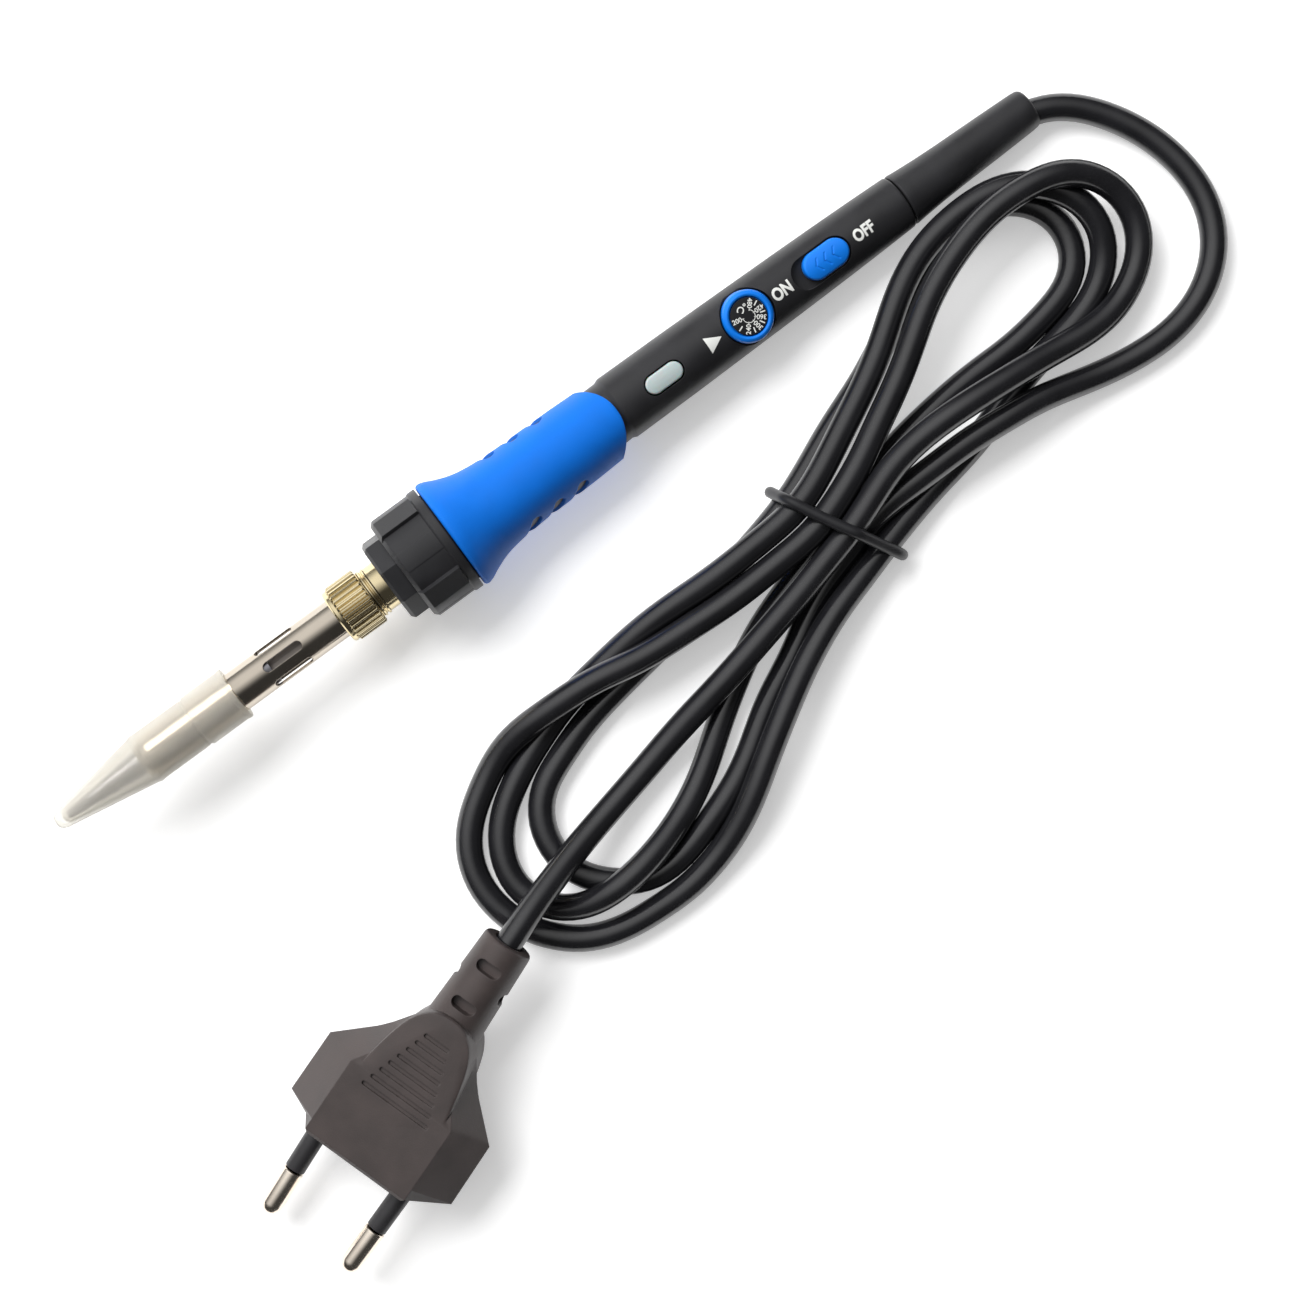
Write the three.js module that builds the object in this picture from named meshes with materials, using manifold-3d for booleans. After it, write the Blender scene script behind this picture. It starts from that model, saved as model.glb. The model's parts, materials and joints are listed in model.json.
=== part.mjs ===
// Temperature-controlled soldering iron with a flat two-pin mains plug, lying on a table.
// Millimetres, +Z up. The origin is the bottom centre of the iron, without its cord.
// Stations of the iron are measured along its axis, from the closed end of the tip cap.

import * as THREE from 'three';
import { mergeVertices } from 'three/addons/utils/BufferGeometryUtils.js';
import Module from 'manifold-3d';

const wasm = await Module();
wasm.setup();

// ---------------------------------------------------------------- driving dimensions

const GAP = 0.3;                    // clearance between neighbouring pieces
const FINE_ROUND = 32;              // sides of the grip and handle
const ROUND = 24;                   // sides of the other large round pieces
const SMALL_ROUND = 12;             // sides of the small round pieces

// stations along the iron
const CAP_MOUTH = 38.8;
const BARREL_FRONT = 18.2;
const NUT_FRONT = 60.9;
const NUT_REAR = 67.8;
const NOSE_FRONT = 71.5;
const COLLAR_FRONT = 75;
const COLLAR_REAR = 85.1;
const GRIP_FRONT = 85.4;
const GRIP_REAR = 122;
const WINDOW_AT = 132.2;
const DIAL_AT = 150.7;
const SWITCH_AT = 168;
const SEAM_AT = 185.9;
const LENGTH = 215;

// radii
const BARREL_R = 3.8;
const BARREL_BORE_R = 3.4;
const BIT_SHANK_R = 3.05;
const HEATER_R = 1.8;
const BUSH_R = 4.55;
const NUT_R = 5.5;
const NOSE_R = 8.2;
const COLLAR_R = 10.4;
const COLLAR_LUG_R = 10.95;
const GRIP_FLANGE_R = 10.8;
const SOCKET_R = 9.05;              // nose flange and handle mouth, inside the collar

// controls, heights above the iron's axis
const DIAL_R = 4.75;
const DIAL_FLOOR = 3.3;
const DIAL_TOP = 6.3;
const DIAL_FACE_R = 3.35;
const SLIDER_LENGTH = 9.2;
const SLIDER_WIDTH = 5.2;
const SLIDER_TRAVEL = 2.2;
const SWITCH_FLOOR = 3.9;
const SLIDER_TOP = 5.95;
const BOARD_TOP = 0.3;
const BOARD_THICK = 1.0;
const PART_SEAT = BOARD_TOP + GAP;  // underside of what sits on the board

// the iron rests on the flange of its grip and on the end of its rear cap
const REAR_R = 3.9;
const TILT = Math.atan((GRIP_FLANGE_R - REAR_R) / (213.5 - 86.1));

// the handle sits a little to one side of the grip and is rolled about its own axis
const HANDLE_OFFSET = 0.85;
const HANDLE_ROLL = THREE.MathUtils.degToRad(11);
const GRIP_OFFSET = 0.25;
const OFFSET_FROM = 95.3;           // the tube leans over between these stations, under the grip
const OFFSET_TO = 122;

// cord and plug
const CORD_D = 5.0;
const TIE_CENTRE = [34.4, -38];
const TIE_ANGLE = 64.1;             // direction of the tie across the bundle, degrees below +X
const BUNDLE_WIDTH = 20.2;
const BUNDLE_TOP = 10.6;
const TIE_THICK = 1.2;
const TIE_WIDTH = 2.2;
const PLUG_AT = [-100.7, -79.8, 8.6];
const PLUG_YAW = 19.5;
const PLUG_PITCH = 5;
const PLUG_ROLL = 6;
const PIN_PITCH = 18.6;
const PIN_LENGTH = 18.2;
const SLEEVE_LENGTH = 8.7;
const SLEEVE_R = 1.9;
const SLEEVE_SINK_R = 2.45;          // counterbore the sleeve stands in
const PIN_TOE_IN = 1.7;

// ---------------------------------------------------------------- finishes

const FINISH = {
  frost: { color: 0xf2f2ec, roughness: 0.45, metalness: 0 },
  silver: { color: 0xb9bcc2, roughness: 0.3, metalness: 1 },
  steel: { color: 0xcfc9bd, roughness: 0.18, metalness: 1 },
  brass: { color: 0xd8c896, roughness: 0.25, metalness: 1 },
  ceramic: { color: 0xf0ece2, roughness: 0.6, metalness: 0 },
  black: { color: 0x1c1c1e, roughness: 0.6, metalness: 0 },
  blue: { color: 0x1557d6, roughness: 0.55, metalness: 0 },
  lens: { color: 0xd5dad6, roughness: 0.35, metalness: 0 },
  board: { color: 0x2c6b3f, roughness: 0.5, metalness: 0 },
  part: { color: 0x303034, roughness: 0.5, metalness: 0 },
  copper: { color: 0xb87333, roughness: 0.35, metalness: 1 },
  pvc: { color: 0x151517, roughness: 0.4, metalness: 0 },
};

const iron = new THREE.Group();
const handle = new THREE.Group();
const soldering_iron = new THREE.Group();
soldering_iron.add(iron);
iron.add(handle);
handle.position.y = HANDLE_OFFSET;
handle.rotation.x = HANDLE_ROLL;

function add(parent, name, geometry, finish) {
  const mesh = new THREE.Mesh(geometry, new THREE.MeshStandardMaterial(FINISH[finish]));
  mesh.name = name;
  parent.add(mesh);
  return mesh;
}

// ---------------------------------------------------------------- geometry helpers

// Solid of a closed three.js geometry, for joining and cutting.
function solid(geometry) {
  const bare = geometry.clone();
  bare.deleteAttribute('normal');
  bare.deleteAttribute('uv');
  const merged = mergeVertices(bare, 1e-4);
  return new wasm.Manifold(new wasm.Mesh({
    numProp: 3,
    vertProperties: new Float32Array(merged.attributes.position.array),
    triVerts: new Uint32Array(merged.index.array),
  }));
}

function surface(manifold) {
  const mesh = manifold.getMesh();
  const geometry = new THREE.BufferGeometry();
  geometry.setAttribute('position', new THREE.BufferAttribute(mesh.vertProperties, mesh.numProp));
  geometry.setIndex(new THREE.BufferAttribute(mesh.triVerts, 1));
  return geometry;
}

// Solid of revolution about X from [station, radius] pairs.
function turned(profile, sides = ROUND) {
  const points = profile.map(([station, radius]) => new THREE.Vector2(radius, station));
  return new THREE.LatheGeometry(points, sides).rotateZ(-Math.PI / 2);
}

// Hollow turned piece: the outer profile forward, the inner one back, and the loop closed.
function hollow(outer, inner, sides = ROUND) {
  return turned([...outer, ...inner, outer[0]], sides);
}

function rod(from, to, radius, sides = SMALL_ROUND) {
  return turned([[from, 0], [from, radius], [to, radius], [to, 0]], sides);
}

function block(x0, x1, y0, y1, z0, z1) {
  return new THREE.BoxGeometry(x1 - x0, y1 - y0, z1 - z0)
    .translate((x0 + x1) / 2, (y0 + y1) / 2, (z0 + z1) / 2);
}

// Upright round post on the Z axis.
function post(radius, z0, z1, sides = SMALL_ROUND) {
  return new THREE.CylinderGeometry(radius, radius, z1 - z0, sides)
    .rotateX(Math.PI / 2)
    .translate(0, 0, (z0 + z1) / 2);
}

function obroundShape(length, width) {
  const radius = width / 2;
  const reach = length / 2 - radius;
  const shape = new THREE.Shape();
  shape.absarc(reach, 0, radius, -Math.PI / 2, Math.PI / 2);
  shape.absarc(-reach, 0, radius, Math.PI / 2, Math.PI * 1.5);
  return shape;
}

// Upright prism with an obround plan, long axis on X.
function obround(length, width, z0, z1, curveSegments = 6) {
  return new THREE.ExtrudeGeometry(obroundShape(length, width), {
    depth: z1 - z0, bevelEnabled: false, curveSegments,
  }).translate(0, 0, z0);
}

// Round bar along a list of [x, y, z] points.
function bar(points, radius, steps, sides = 8) {
  const path = new THREE.CatmullRomCurve3(points.map((p) => new THREE.Vector3(...p)));
  const section = new THREE.Shape(Array.from({ length: sides }, (_, i) => {
    const angle = (2 * Math.PI * i) / sides;
    return new THREE.Vector2(radius * Math.cos(angle), radius * Math.sin(angle));
  }));
  return new THREE.ExtrudeGeometry(section, { steps, extrudePath: path, bevelEnabled: false });
}

// ---------------------------------------------------------------- tip: cap, bit, barrel, nut

function tipCap() {
  const outer = [
    [0, 0], [0.15, 0.8], [0.6, 1.35], [1.4, 1.7],
    [19.3, 4.8], [30.0, 4.8], [30.4, 5.0], [CAP_MOUTH, 5.0],
  ];
  const inner = [[CAP_MOUTH, 4.35], [30.4, 4.15], [19.6, 4.15], [2.2, 1.2], [1.7, 0.6], [1.6, 0]];
  return turned([...outer, ...inner]);
}

// Chisel bit: a tinned working end, a plated cone and a bored shank over the heater.
function solderingBit() {
  const shoulder = 22.2;
  const body = solid(turned([
    [2.5, 0], [2.5, 0.7], [7.9, 1.3], [17.8, 2.3], [shoulder, 2.45],
    [shoulder, BIT_SHANK_R], [46.5, BIT_SHANK_R], [46.5, 2.15], [24.2, 2.15], [23.4, 0],
  ]));
  const slope = THREE.MathUtils.degToRad(8);
  const flat = (side) => solid(new THREE.BoxGeometry(10, 4, 2)
    .translate(0, 0, side * 1)
    .rotateY(-side * slope)
    .translate(2.5, 0, side * 0.25));
  return surface(body.subtract(flat(1)).subtract(flat(-1)));
}

function barrelSleeve() {
  const tube = solid(hollow([
    [BARREL_FRONT, 2.8], [BARREL_FRONT + 0.3, 3.05], [19.6, 3.6], [20.6, BARREL_R],
    [62.2, BARREL_R], [62.2, 4.45], [63, 4.45],
  ], [
    [63, BARREL_BORE_R], [21.4, BARREL_BORE_R], [20.4, 2.8],
  ]));
  const slot = obround(8, 1.8, -BARREL_R - 1, BARREL_R + 1).translate(49.3, 0, 0);
  let cut = tube;
  for (let i = 0; i < 3; i += 1) {
    cut = cut.subtract(solid(slot.clone().rotateX((Math.PI / 3) * i)));
  }
  return surface(cut);
}

// Knurled union nut, with a plain ring in front of its ridges.
function barrelNut() {
  const ridges = 30;
  const root = NUT_R - 0.4;
  const knurl = new THREE.Shape();
  for (let i = 0; i < ridges; i += 1) {
    const steps = [[0, root], [0.25, NUT_R], [0.65, NUT_R], [0.9, root]];
    steps.forEach(([part, radius], k) => {
      const angle = (2 * Math.PI * (i + part)) / ridges;
      const corner = [radius * Math.cos(angle), radius * Math.sin(angle)];
      if (i === 0 && k === 0) {
        knurl.moveTo(...corner);
      } else {
        knurl.lineTo(...corner);
      }
    });
  }
  knurl.closePath();
  const front = NUT_FRONT + 1.1;
  const ridged = solid(new THREE.ExtrudeGeometry(knurl, { depth: NUT_REAR - front, bevelEnabled: false })
    .rotateY(Math.PI / 2)
    .translate(front, 0, 0));
  const ring = solid(turned([
    [NUT_FRONT, 0], [NUT_FRONT, 4.7], [NUT_FRONT + 0.5, 5.2], [front + 0.2, 5.2], [front + 0.2, 0],
  ]));
  const bore = solid(turned([
    [NUT_FRONT - 1, 0], [NUT_FRONT - 1, BARREL_R + GAP], [61.9, BARREL_R + GAP],
    [61.9, BUSH_R + GAP], [NUT_REAR + 1, BUSH_R + GAP], [NUT_REAR + 1, 0],
  ]));
  return surface(ridged.add(ring).subtract(bore));
}

function threadedBush() {
  return hollow([
    [63.4, 4.2], [63.8, BUSH_R], [74, BUSH_R], [74, 6], [75.7, 6], [75.7, BUSH_R], [78.1, BUSH_R],
  ], [[78.1, BARREL_BORE_R], [63.4, BARREL_BORE_R]]);
}

add(iron, 'tip_cap', tipCap(), 'frost');
add(iron, 'soldering_bit', solderingBit(), 'silver');
add(iron, 'barrel_sleeve', barrelSleeve(), 'steel');
add(iron, 'barrel_nut', barrelNut(), 'brass');
add(iron, 'threaded_bush', threadedBush(), 'brass');
add(iron, 'heater_core', turned([[24.6, 0], [24.6, 1.5], [25, HEATER_R], [72.6, HEATER_R], [72.6, 0]],
  SMALL_ROUND), 'ceramic');
add(iron, 'heater_base', hollow([[64.6, 3.05], [77.6, 3.05]], [[77.6, 2.1], [64.6, 2.1]],
  SMALL_ROUND), 'ceramic');

// ---------------------------------------------------------------- nose and locking collar

// Eight-sided nose with a round flange that the collar clamps.
function nosePiece() {
  const prism = solid(turned([
    [NOSE_FRONT, 0], [NOSE_FRONT, NOSE_R - 0.9], [NOSE_FRONT + 0.9, NOSE_R],
    [77.4, NOSE_R], [77.4, 0],
  ], 8).rotateX(THREE.MathUtils.degToRad(-7)));
  const flange = solid(rod(77.1, 78.8, SOCKET_R, FINE_ROUND));
  const bore = solid(turned([
    [NOSE_FRONT - 1, 0], [NOSE_FRONT - 1, BUSH_R + GAP], [73.7, BUSH_R + GAP],
    [73.7, 6.3], [79.8, 6.3], [79.8, 0],
  ]));
  return surface(prism.add(flange).subtract(bore));
}

// Screw ring with four lugs to turn it by.
function lockingCollar() {
  const body = solid(turned([
    [COLLAR_FRONT, 0], [COLLAR_FRONT, COLLAR_R - 0.9], [COLLAR_FRONT + 0.9, COLLAR_R],
    [COLLAR_REAR, COLLAR_R], [COLLAR_REAR, 0],
  ], FINE_ROUND));
  const halfWidth = 2.2;
  let outside = body;
  for (let i = 0; i < 4; i += 1) {
    const lug = block(COLLAR_FRONT + 0.5, COLLAR_REAR - 1.1, -halfWidth, halfWidth, 6, COLLAR_LUG_R);
    outside = outside.add(solid(lug.rotateX(THREE.MathUtils.degToRad(45 + 90 * i))));
  }
  const bore = solid(turned([
    [COLLAR_FRONT - 1, 0], [COLLAR_FRONT - 1, NOSE_R + 0.35], [76.8, NOSE_R + 0.35],
    [76.8, SOCKET_R + 0.35], [COLLAR_REAR + 1, SOCKET_R + 0.35], [COLLAR_REAR + 1, 0],
  ], FINE_ROUND));
  return surface(outside.subtract(bore));
}

add(iron, 'nose_piece', nosePiece(), 'black');
add(iron, 'locking_collar', lockingCollar(), 'black');

// ---------------------------------------------------------------- grip, handle, rear cap

// Moves a piece sideways: not at all up to OFFSET_FROM, by the whole distance from OFFSET_TO on.
function leanOver(geometry, distance) {
  const position = geometry.attributes.position;
  for (let i = 0; i < position.count; i += 1) {
    const part = (position.getX(i) - OFFSET_FROM) / (OFFSET_TO - OFFSET_FROM);
    position.setY(i, position.getY(i) + distance * THREE.MathUtils.clamp(part, 0, 1));
  }
  return geometry;
}

// Rubber grip: three slanted openings on each side and an arched rear edge.
function gripSleeve() {
  const body = leanOver(turned([
    [GRIP_FRONT, 0],
    [GRIP_FRONT, 10.3], [GRIP_FRONT + 0.2, 10.65], [GRIP_FRONT + 0.7, GRIP_FLANGE_R],
    [87.1, 10.5], [88.8, 9.7], [90.8, 8.95], [92.8, 8.35], [95.8, 7.95], [101, 7.66],
    [107, 7.6], [113, 7.52], [118, 7.3], [GRIP_REAR - 0.4, 7.15], [GRIP_REAR, 7.05],
    [GRIP_REAR, 0],
  ], FINE_ROUND), GRIP_OFFSET);
  const bore = leanOver(turned([
    [GRIP_FRONT - 1, 0], [GRIP_FRONT - 1, SOCKET_R + GAP], [GRIP_FRONT, SOCKET_R + GAP], [88.3, 8.75],
    [91.8, 7.5], [OFFSET_FROM, 6.6], [GRIP_REAR, 6.2], [GRIP_REAR + 1, 6.2], [GRIP_REAR + 1, 0],
  ], FINE_ROUND), HANDLE_OFFSET);
  const archRadius = 8.9;
  const arch = new THREE.Shape();
  arch.moveTo(GRIP_FRONT - 1, -12);
  arch.lineTo(GRIP_REAR - 4.5, -12);
  arch.lineTo(GRIP_REAR - 4.5, -7.75);
  arch.absarc(GRIP_REAR - archRadius, 0, archRadius, -1.055, 1.055);
  arch.lineTo(GRIP_REAR - 4.5, 12);
  arch.lineTo(GRIP_FRONT - 1, 12);
  const plan = solid(new THREE.ExtrudeGeometry(arch, { depth: 24, bevelEnabled: false, curveSegments: 10 })
    .translate(0, 0, -12));
  const opening = obround(8.8, 2.4, -12, 12)
    .rotateZ(THREE.MathUtils.degToRad(58))
    .rotateX(Math.PI / 2);
  let grip = solid(body).subtract(solid(bore)).intersect(plan);
  for (let i = 0; i < 3; i += 1) {
    grip = grip.subtract(solid(opening.clone().translate(97.6 + 5.2 * i, 0, 0)));
  }
  return surface(grip);
}

// One-piece handle tube with a dial seat, a switch recess and a lens window in its top.
function handleTube() {
  const mouth = 79.2;
  const outer = [
    [mouth, SOCKET_R], [COLLAR_REAR, SOCKET_R], [87.6, 8.4], [91.3, 7.1], [OFFSET_FROM, 6.25],
    [OFFSET_TO + 0.1, 5.9], [OFFSET_TO + 0.9, 6.25], [137, 6.15], [149, 5.98], [161, 5.8],
    [169, 5.65], [177, 5.45], [SEAM_AT, 5.15],
  ];
  const inner = [
    [SEAM_AT, 4.2], [177, 4.4], [149, 4.7], [OFFSET_TO, 5.0], [OFFSET_FROM, 5.0], [88.8, 6.2],
    [mouth, 7.4],
  ];
  const outside = solid(turned([[mouth, 0], ...outer, [SEAM_AT, 0]], FINE_ROUND));
  const bore = solid(turned([[SEAM_AT + 1, 0], [SEAM_AT + 1, 4.2], ...inner, [mouth - 1, 7.4], [mouth - 1, 0]]
    .reverse()));
  const seats = solid(block(DIAL_AT - 6.2, DIAL_AT + 6.2, -5, 5, DIAL_FLOOR - 1, 5.5))
    .add(solid(block(SWITCH_AT - 8.5, SWITCH_AT + 6.5, -4.6, 4.6, SWITCH_FLOOR - 1, 5.2)))
    .intersect(outside);
  const dialPocket = solid(post(DIAL_R + 0.35, DIAL_FLOOR, 8, ROUND).translate(DIAL_AT, 0, 0));
  const dialHole = solid(post(1.9, 0, 8).translate(DIAL_AT, 0, 0));
  const recessLength = SLIDER_LENGTH + SLIDER_TRAVEL + 0.8;
  const recess = solid(obround(recessLength, SLIDER_WIDTH + 0.7, SWITCH_FLOOR, 8, 8)
    .translate(SWITCH_AT - SLIDER_TRAVEL / 2, 0, 0));
  const stemSlot = solid(obround(SLIDER_TRAVEL + 3.2, 2, 0, 8)
    .translate(SWITCH_AT - SLIDER_TRAVEL / 2, 0, 0));
  const window = solid(obround(8.1, 4.0, 2, 8, 8).translate(WINDOW_AT, 0, 0));
  const tube = surface(outside.subtract(bore).add(seats)
    .subtract(dialPocket).subtract(dialHole)
    .subtract(recess).subtract(stemSlot).subtract(window));
  return leanOver(tube.rotateX(HANDLE_ROLL), HANDLE_OFFSET);
}

function rearCap() {
  const spigot = 182.2;
  return hollow([
    [spigot, 3.9], [SEAM_AT + GAP, 3.9], [SEAM_AT + GAP, 5.1], [188.6, 4.9], [192.6, 4.62], [197, 4.42],
    [205, 4.2], [211, 4.0], [213.5, REAR_R], [214.6, 3.75], [LENGTH, 3.5],
  ], [
    [LENGTH, 3.35], [210, 2.9], [205, 2.9], [204, 3.7], [188.6, 3.7], [186.6, 3.3], [spigot, 3.3],
  ]);
}

add(iron, 'grip_sleeve', gripSleeve(), 'blue');
add(iron, 'handle_tube', handleTube(), 'black');
add(handle, 'rear_cap', rearCap(), 'black');

// ---------------------------------------------------------------- controls on the handle

// Dial: a drum with a sunk face on a short stem.
function temperatureDial() {
  const sink = DIAL_TOP - 0.75;
  return turned([
    [BOARD_TOP + 2.2, 0], [BOARD_TOP + 2.2, 1.5], [DIAL_FLOOR + 0.35, 1.5],
    [DIAL_FLOOR + 0.35, DIAL_R], [DIAL_TOP - 0.9, DIAL_R], [DIAL_TOP - 0.25, DIAL_R - 0.35],
    [DIAL_TOP, DIAL_R - 0.85], [DIAL_TOP, DIAL_FACE_R + 0.3], [sink, DIAL_FACE_R + 0.3], [sink, 0],
  ]).rotateY(-Math.PI / 2).translate(DIAL_AT, 0, 0);
}

function switchSlider() {
  const cap = solid(obround(SLIDER_LENGTH, SLIDER_WIDTH, SWITCH_FLOOR + GAP, SLIDER_TOP, 8));
  const crown = solid(turned([[-6, 0], [-6, SLIDER_TOP], [6, SLIDER_TOP], [6, 0]], FINE_ROUND));
  const stem = solid(block(-1, 1, -0.65, 0.65, BOARD_TOP + 1.9, SWITCH_FLOOR + 1));
  return surface(cap.intersect(crown).add(stem).translate([SWITCH_AT, 0, 0]));
}

// Lens: an obround whose top follows the handle.
function indicatorLens() {
  const prism = solid(obround(7.5, 3.4, 4.2, 8, 8).translate(WINDOW_AT, 0, 0));
  return surface(prism.intersect(solid(rod(WINDOW_AT - 6, WINDOW_AT + 6, 6.22, FINE_ROUND))));
}

add(handle, 'temperature_dial', temperatureDial(), 'blue');
add(handle, 'dial_face', post(DIAL_FACE_R, DIAL_TOP - 0.45, DIAL_TOP - 0.15, ROUND)
  .translate(DIAL_AT, 0, 0), 'black');
add(handle, 'switch_slider', switchSlider(), 'blue');
add(handle, 'indicator_lens', indicatorLens(), 'lens');

// ---------------------------------------------------------------- inside the handle

const boardBottom = BOARD_TOP - BOARD_THICK;
const underBoard = boardBottom - GAP;

add(handle, 'circuit_board', block(127, 180.8, -3.8, 3.8, boardBottom, BOARD_TOP), 'board');
add(handle, 'potentiometer', post(3.1, PART_SEAT, BOARD_TOP + 1.9).translate(DIAL_AT, 0, 0), 'part');
add(handle, 'switch_body', block(SWITCH_AT - 5, SWITCH_AT + 4, -2.2, 2.2, PART_SEAT, BOARD_TOP + 1.6),
  'part');
add(handle, 'indicator_led', turned([[PART_SEAT, 0], [PART_SEAT, 1.5], [2.6, 1.5], [3.4, 1.1], [3.7, 0]],
  SMALL_ROUND).rotateY(-Math.PI / 2).translate(WINDOW_AT, 0, 0), 'lens');
add(handle, 'triac', block(139.2, 143.2, -1.9, 1.9, PART_SEAT, 3.6), 'part');
add(handle, 'timing_capacitor', block(142, 148, -1.3, 1.3, underBoard - 2.6, underBoard), 'copper');
add(handle, 'drop_resistor', rod(155, 162, 1.1).translate(0, 0, underBoard - 1.2), 'ceramic');

[-1, 1].forEach((side) => {
  const label = side < 0 ? 'right' : 'left';
  add(iron, `heater_lead_${label}`, rod(73, 126.6, 0.5, 8).translate(0, side * 1.1, 0), 'copper');
  add(handle, `mains_lead_${label}`, rod(181.2, 198.6, 0.6, 8).translate(0, side * 1.3, 0), 'copper');
});

add(handle, 'cord_clamp', hollow([[199.6, 3.35], [202.5, 3.35]], [[202.5, 2.85], [199.6, 2.85]]), 'silver');

// ---------------------------------------------------------------- place the iron

iron.rotation.y = TILT;
iron.updateMatrixWorld(true);
const reach = new THREE.Box3().setFromObject(iron, true);
iron.position.set(-(reach.min.x + reach.max.x) / 2, 0, -reach.min.z);
iron.updateMatrixWorld(true);

// ---------------------------------------------------------------- cord

// The cord leaves the rear cap along its axis, drops to the table and turns back.
const station = (s) => handle.localToWorld(new THREE.Vector3(s, 0, 0)).toArray();
const LEAD = [
  station(199.8), station(206), [103.25, 0.73, 4.03], [107.25, 0.28, 3.81], [109.9, -0.6, 3.66],
  [112.7, -2.3, 3.45], [115.2, -4.6, 3.2], [118.4, -8.8, 2.9], [121.5, -14.3, 2.65], [123.5, -20.6, 2.6],
  [124.2, -26, 2.6], [123.7, -31.9, 2.6], [121.4, -37.5, 2.6], [116.9, -42.5, 2.6], [110.4, -46, 2.6],
  [102.9, -47.3, 2.6], [94.4, -46.6, 2.7], [86.9, -45, 3.4],
];
const TAIL = [
  [-0.1, -50, 7.2], [-10.1, -51.8, 5.2], [-19.1, -54, 4.2], [-29.6, -56.3, 5.2], [-37.1, -58, 7.2],
  [-44.1, -60, 9.6], [-50.2, -61.85, 11.8], [-54.6, -63.48, 12.84], [-59.1, -65.07, 12.46],
];

// The hank: three loose turns, pinched by a tie. Outer edge and the eyes of its two lobes.
const HANK_EDGE = [
  [29.9, -28.2], [43.4, -21.5], [56.4, -15.5], [67.9, -9], [77.9, -6.1], [88.9, -5.5], [99.9, -6.6],
  [108.4, -11], [113.9, -18], [114.9, -26], [108.9, -36], [96.9, -40], [78.9, -41], [60.9, -45.5],
  [49.9, -46.8], [39.2, -48], [27.4, -53.5], [9.4, -62.5], [-6.1, -72], [-17.1, -76.5], [-31.1, -78.3],
  [-47.1, -75], [-53.8, -66.6], [-58.4, -54], [-54.1, -43.5], [-43.6, -36.2], [-32.1, -33], [-15.1, -32],
  [10.9, -31], [21.9, -29.8],
];
const UPPER_EYE = [
  [52.9, -26], [64.9, -19.5], [74.9, -13.5], [84.9, -12.5], [94.9, -17], [95.9, -24], [85.9, -28.5],
  [68.9, -29],
];
const LOWER_EYE = [
  [10.9, -45], [-2.1, -51], [-13.1, -58.5], [-22.1, -63], [-33.1, -65], [-38.6, -59], [-36.1, -50],
  [-28.1, -44], [-13.1, -41.5], [1.9, -41],
];

// Upright prism whose plan is a smooth closed curve through hand-set points.
function smoothPrism(points, samples, z0, z1) {
  const curve = new THREE.CatmullRomCurve3(points.map(([x, y]) => new THREE.Vector3(x, y, 0)), true);
  const plan = curve.getPoints(samples).slice(0, -1).map((p) => new THREE.Vector2(p.x, p.y));
  return new THREE.ExtrudeGeometry(new THREE.Shape(plan), { depth: z1 - z0, bevelEnabled: false })
    .translate(0, 0, z0);
}

function acrossTie(geometry) {
  return geometry
    .rotateZ(THREE.MathUtils.degToRad(-TIE_ANGLE))
    .translate(TIE_CENTRE[0], TIE_CENTRE[1], 0);
}

// Rounded bar across the bundle: X across, Y along the strands.
function bundleCore(grow, along) {
  const bottom = GAP + TIE_THICK + GAP - grow;
  const top = BUNDLE_TOP + grow;
  const height = top - bottom;
  return acrossTie(obround(BUNDLE_WIDTH + 2 * grow, height, -along / 2, along / 2)
    .rotateX(Math.PI / 2)
    .translate(0, 0, (top + bottom) / 2));
}

function cordHank() {
  const slab = solid(smoothPrism(HANK_EDGE, 60, GAP, BUNDLE_TOP));
  const upperEye = solid(smoothPrism(UPPER_EYE, 20, -1, BUNDLE_TOP + 1));
  const lowerEye = solid(smoothPrism(LOWER_EYE, 24, -1, BUNDLE_TOP + 1));
  const neckLength = TIE_WIDTH + 2 * GAP;
  const strip = solid(acrossTie(new THREE.BoxGeometry(40, neckLength, 40)));
  const notch = strip.subtract(solid(bundleCore(0, neckLength + 1)));
  const groove = CORD_D / 2 + 0.5;
  return surface(slab.subtract(upperEye).subtract(lowerEye).subtract(notch)
    .subtract(solid(bar(LEAD, groove, 30)))
    .subtract(solid(bar(TAIL, groove, 24))));
}

function cordTie() {
  return surface(solid(bundleCore(GAP + TIE_THICK, TIE_WIDTH))
    .subtract(solid(bundleCore(GAP, TIE_WIDTH + 2))));
}

add(soldering_iron, 'cord_lead', bar(LEAD, CORD_D / 2, 30), 'pvc');
add(soldering_iron, 'cord_hank', cordHank(), 'pvc');
add(soldering_iron, 'cord_tail', bar(TAIL, CORD_D / 2, 12), 'pvc');
add(soldering_iron, 'cord_tie', cordTie(), 'pvc');

// ---------------------------------------------------------------- plug

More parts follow.
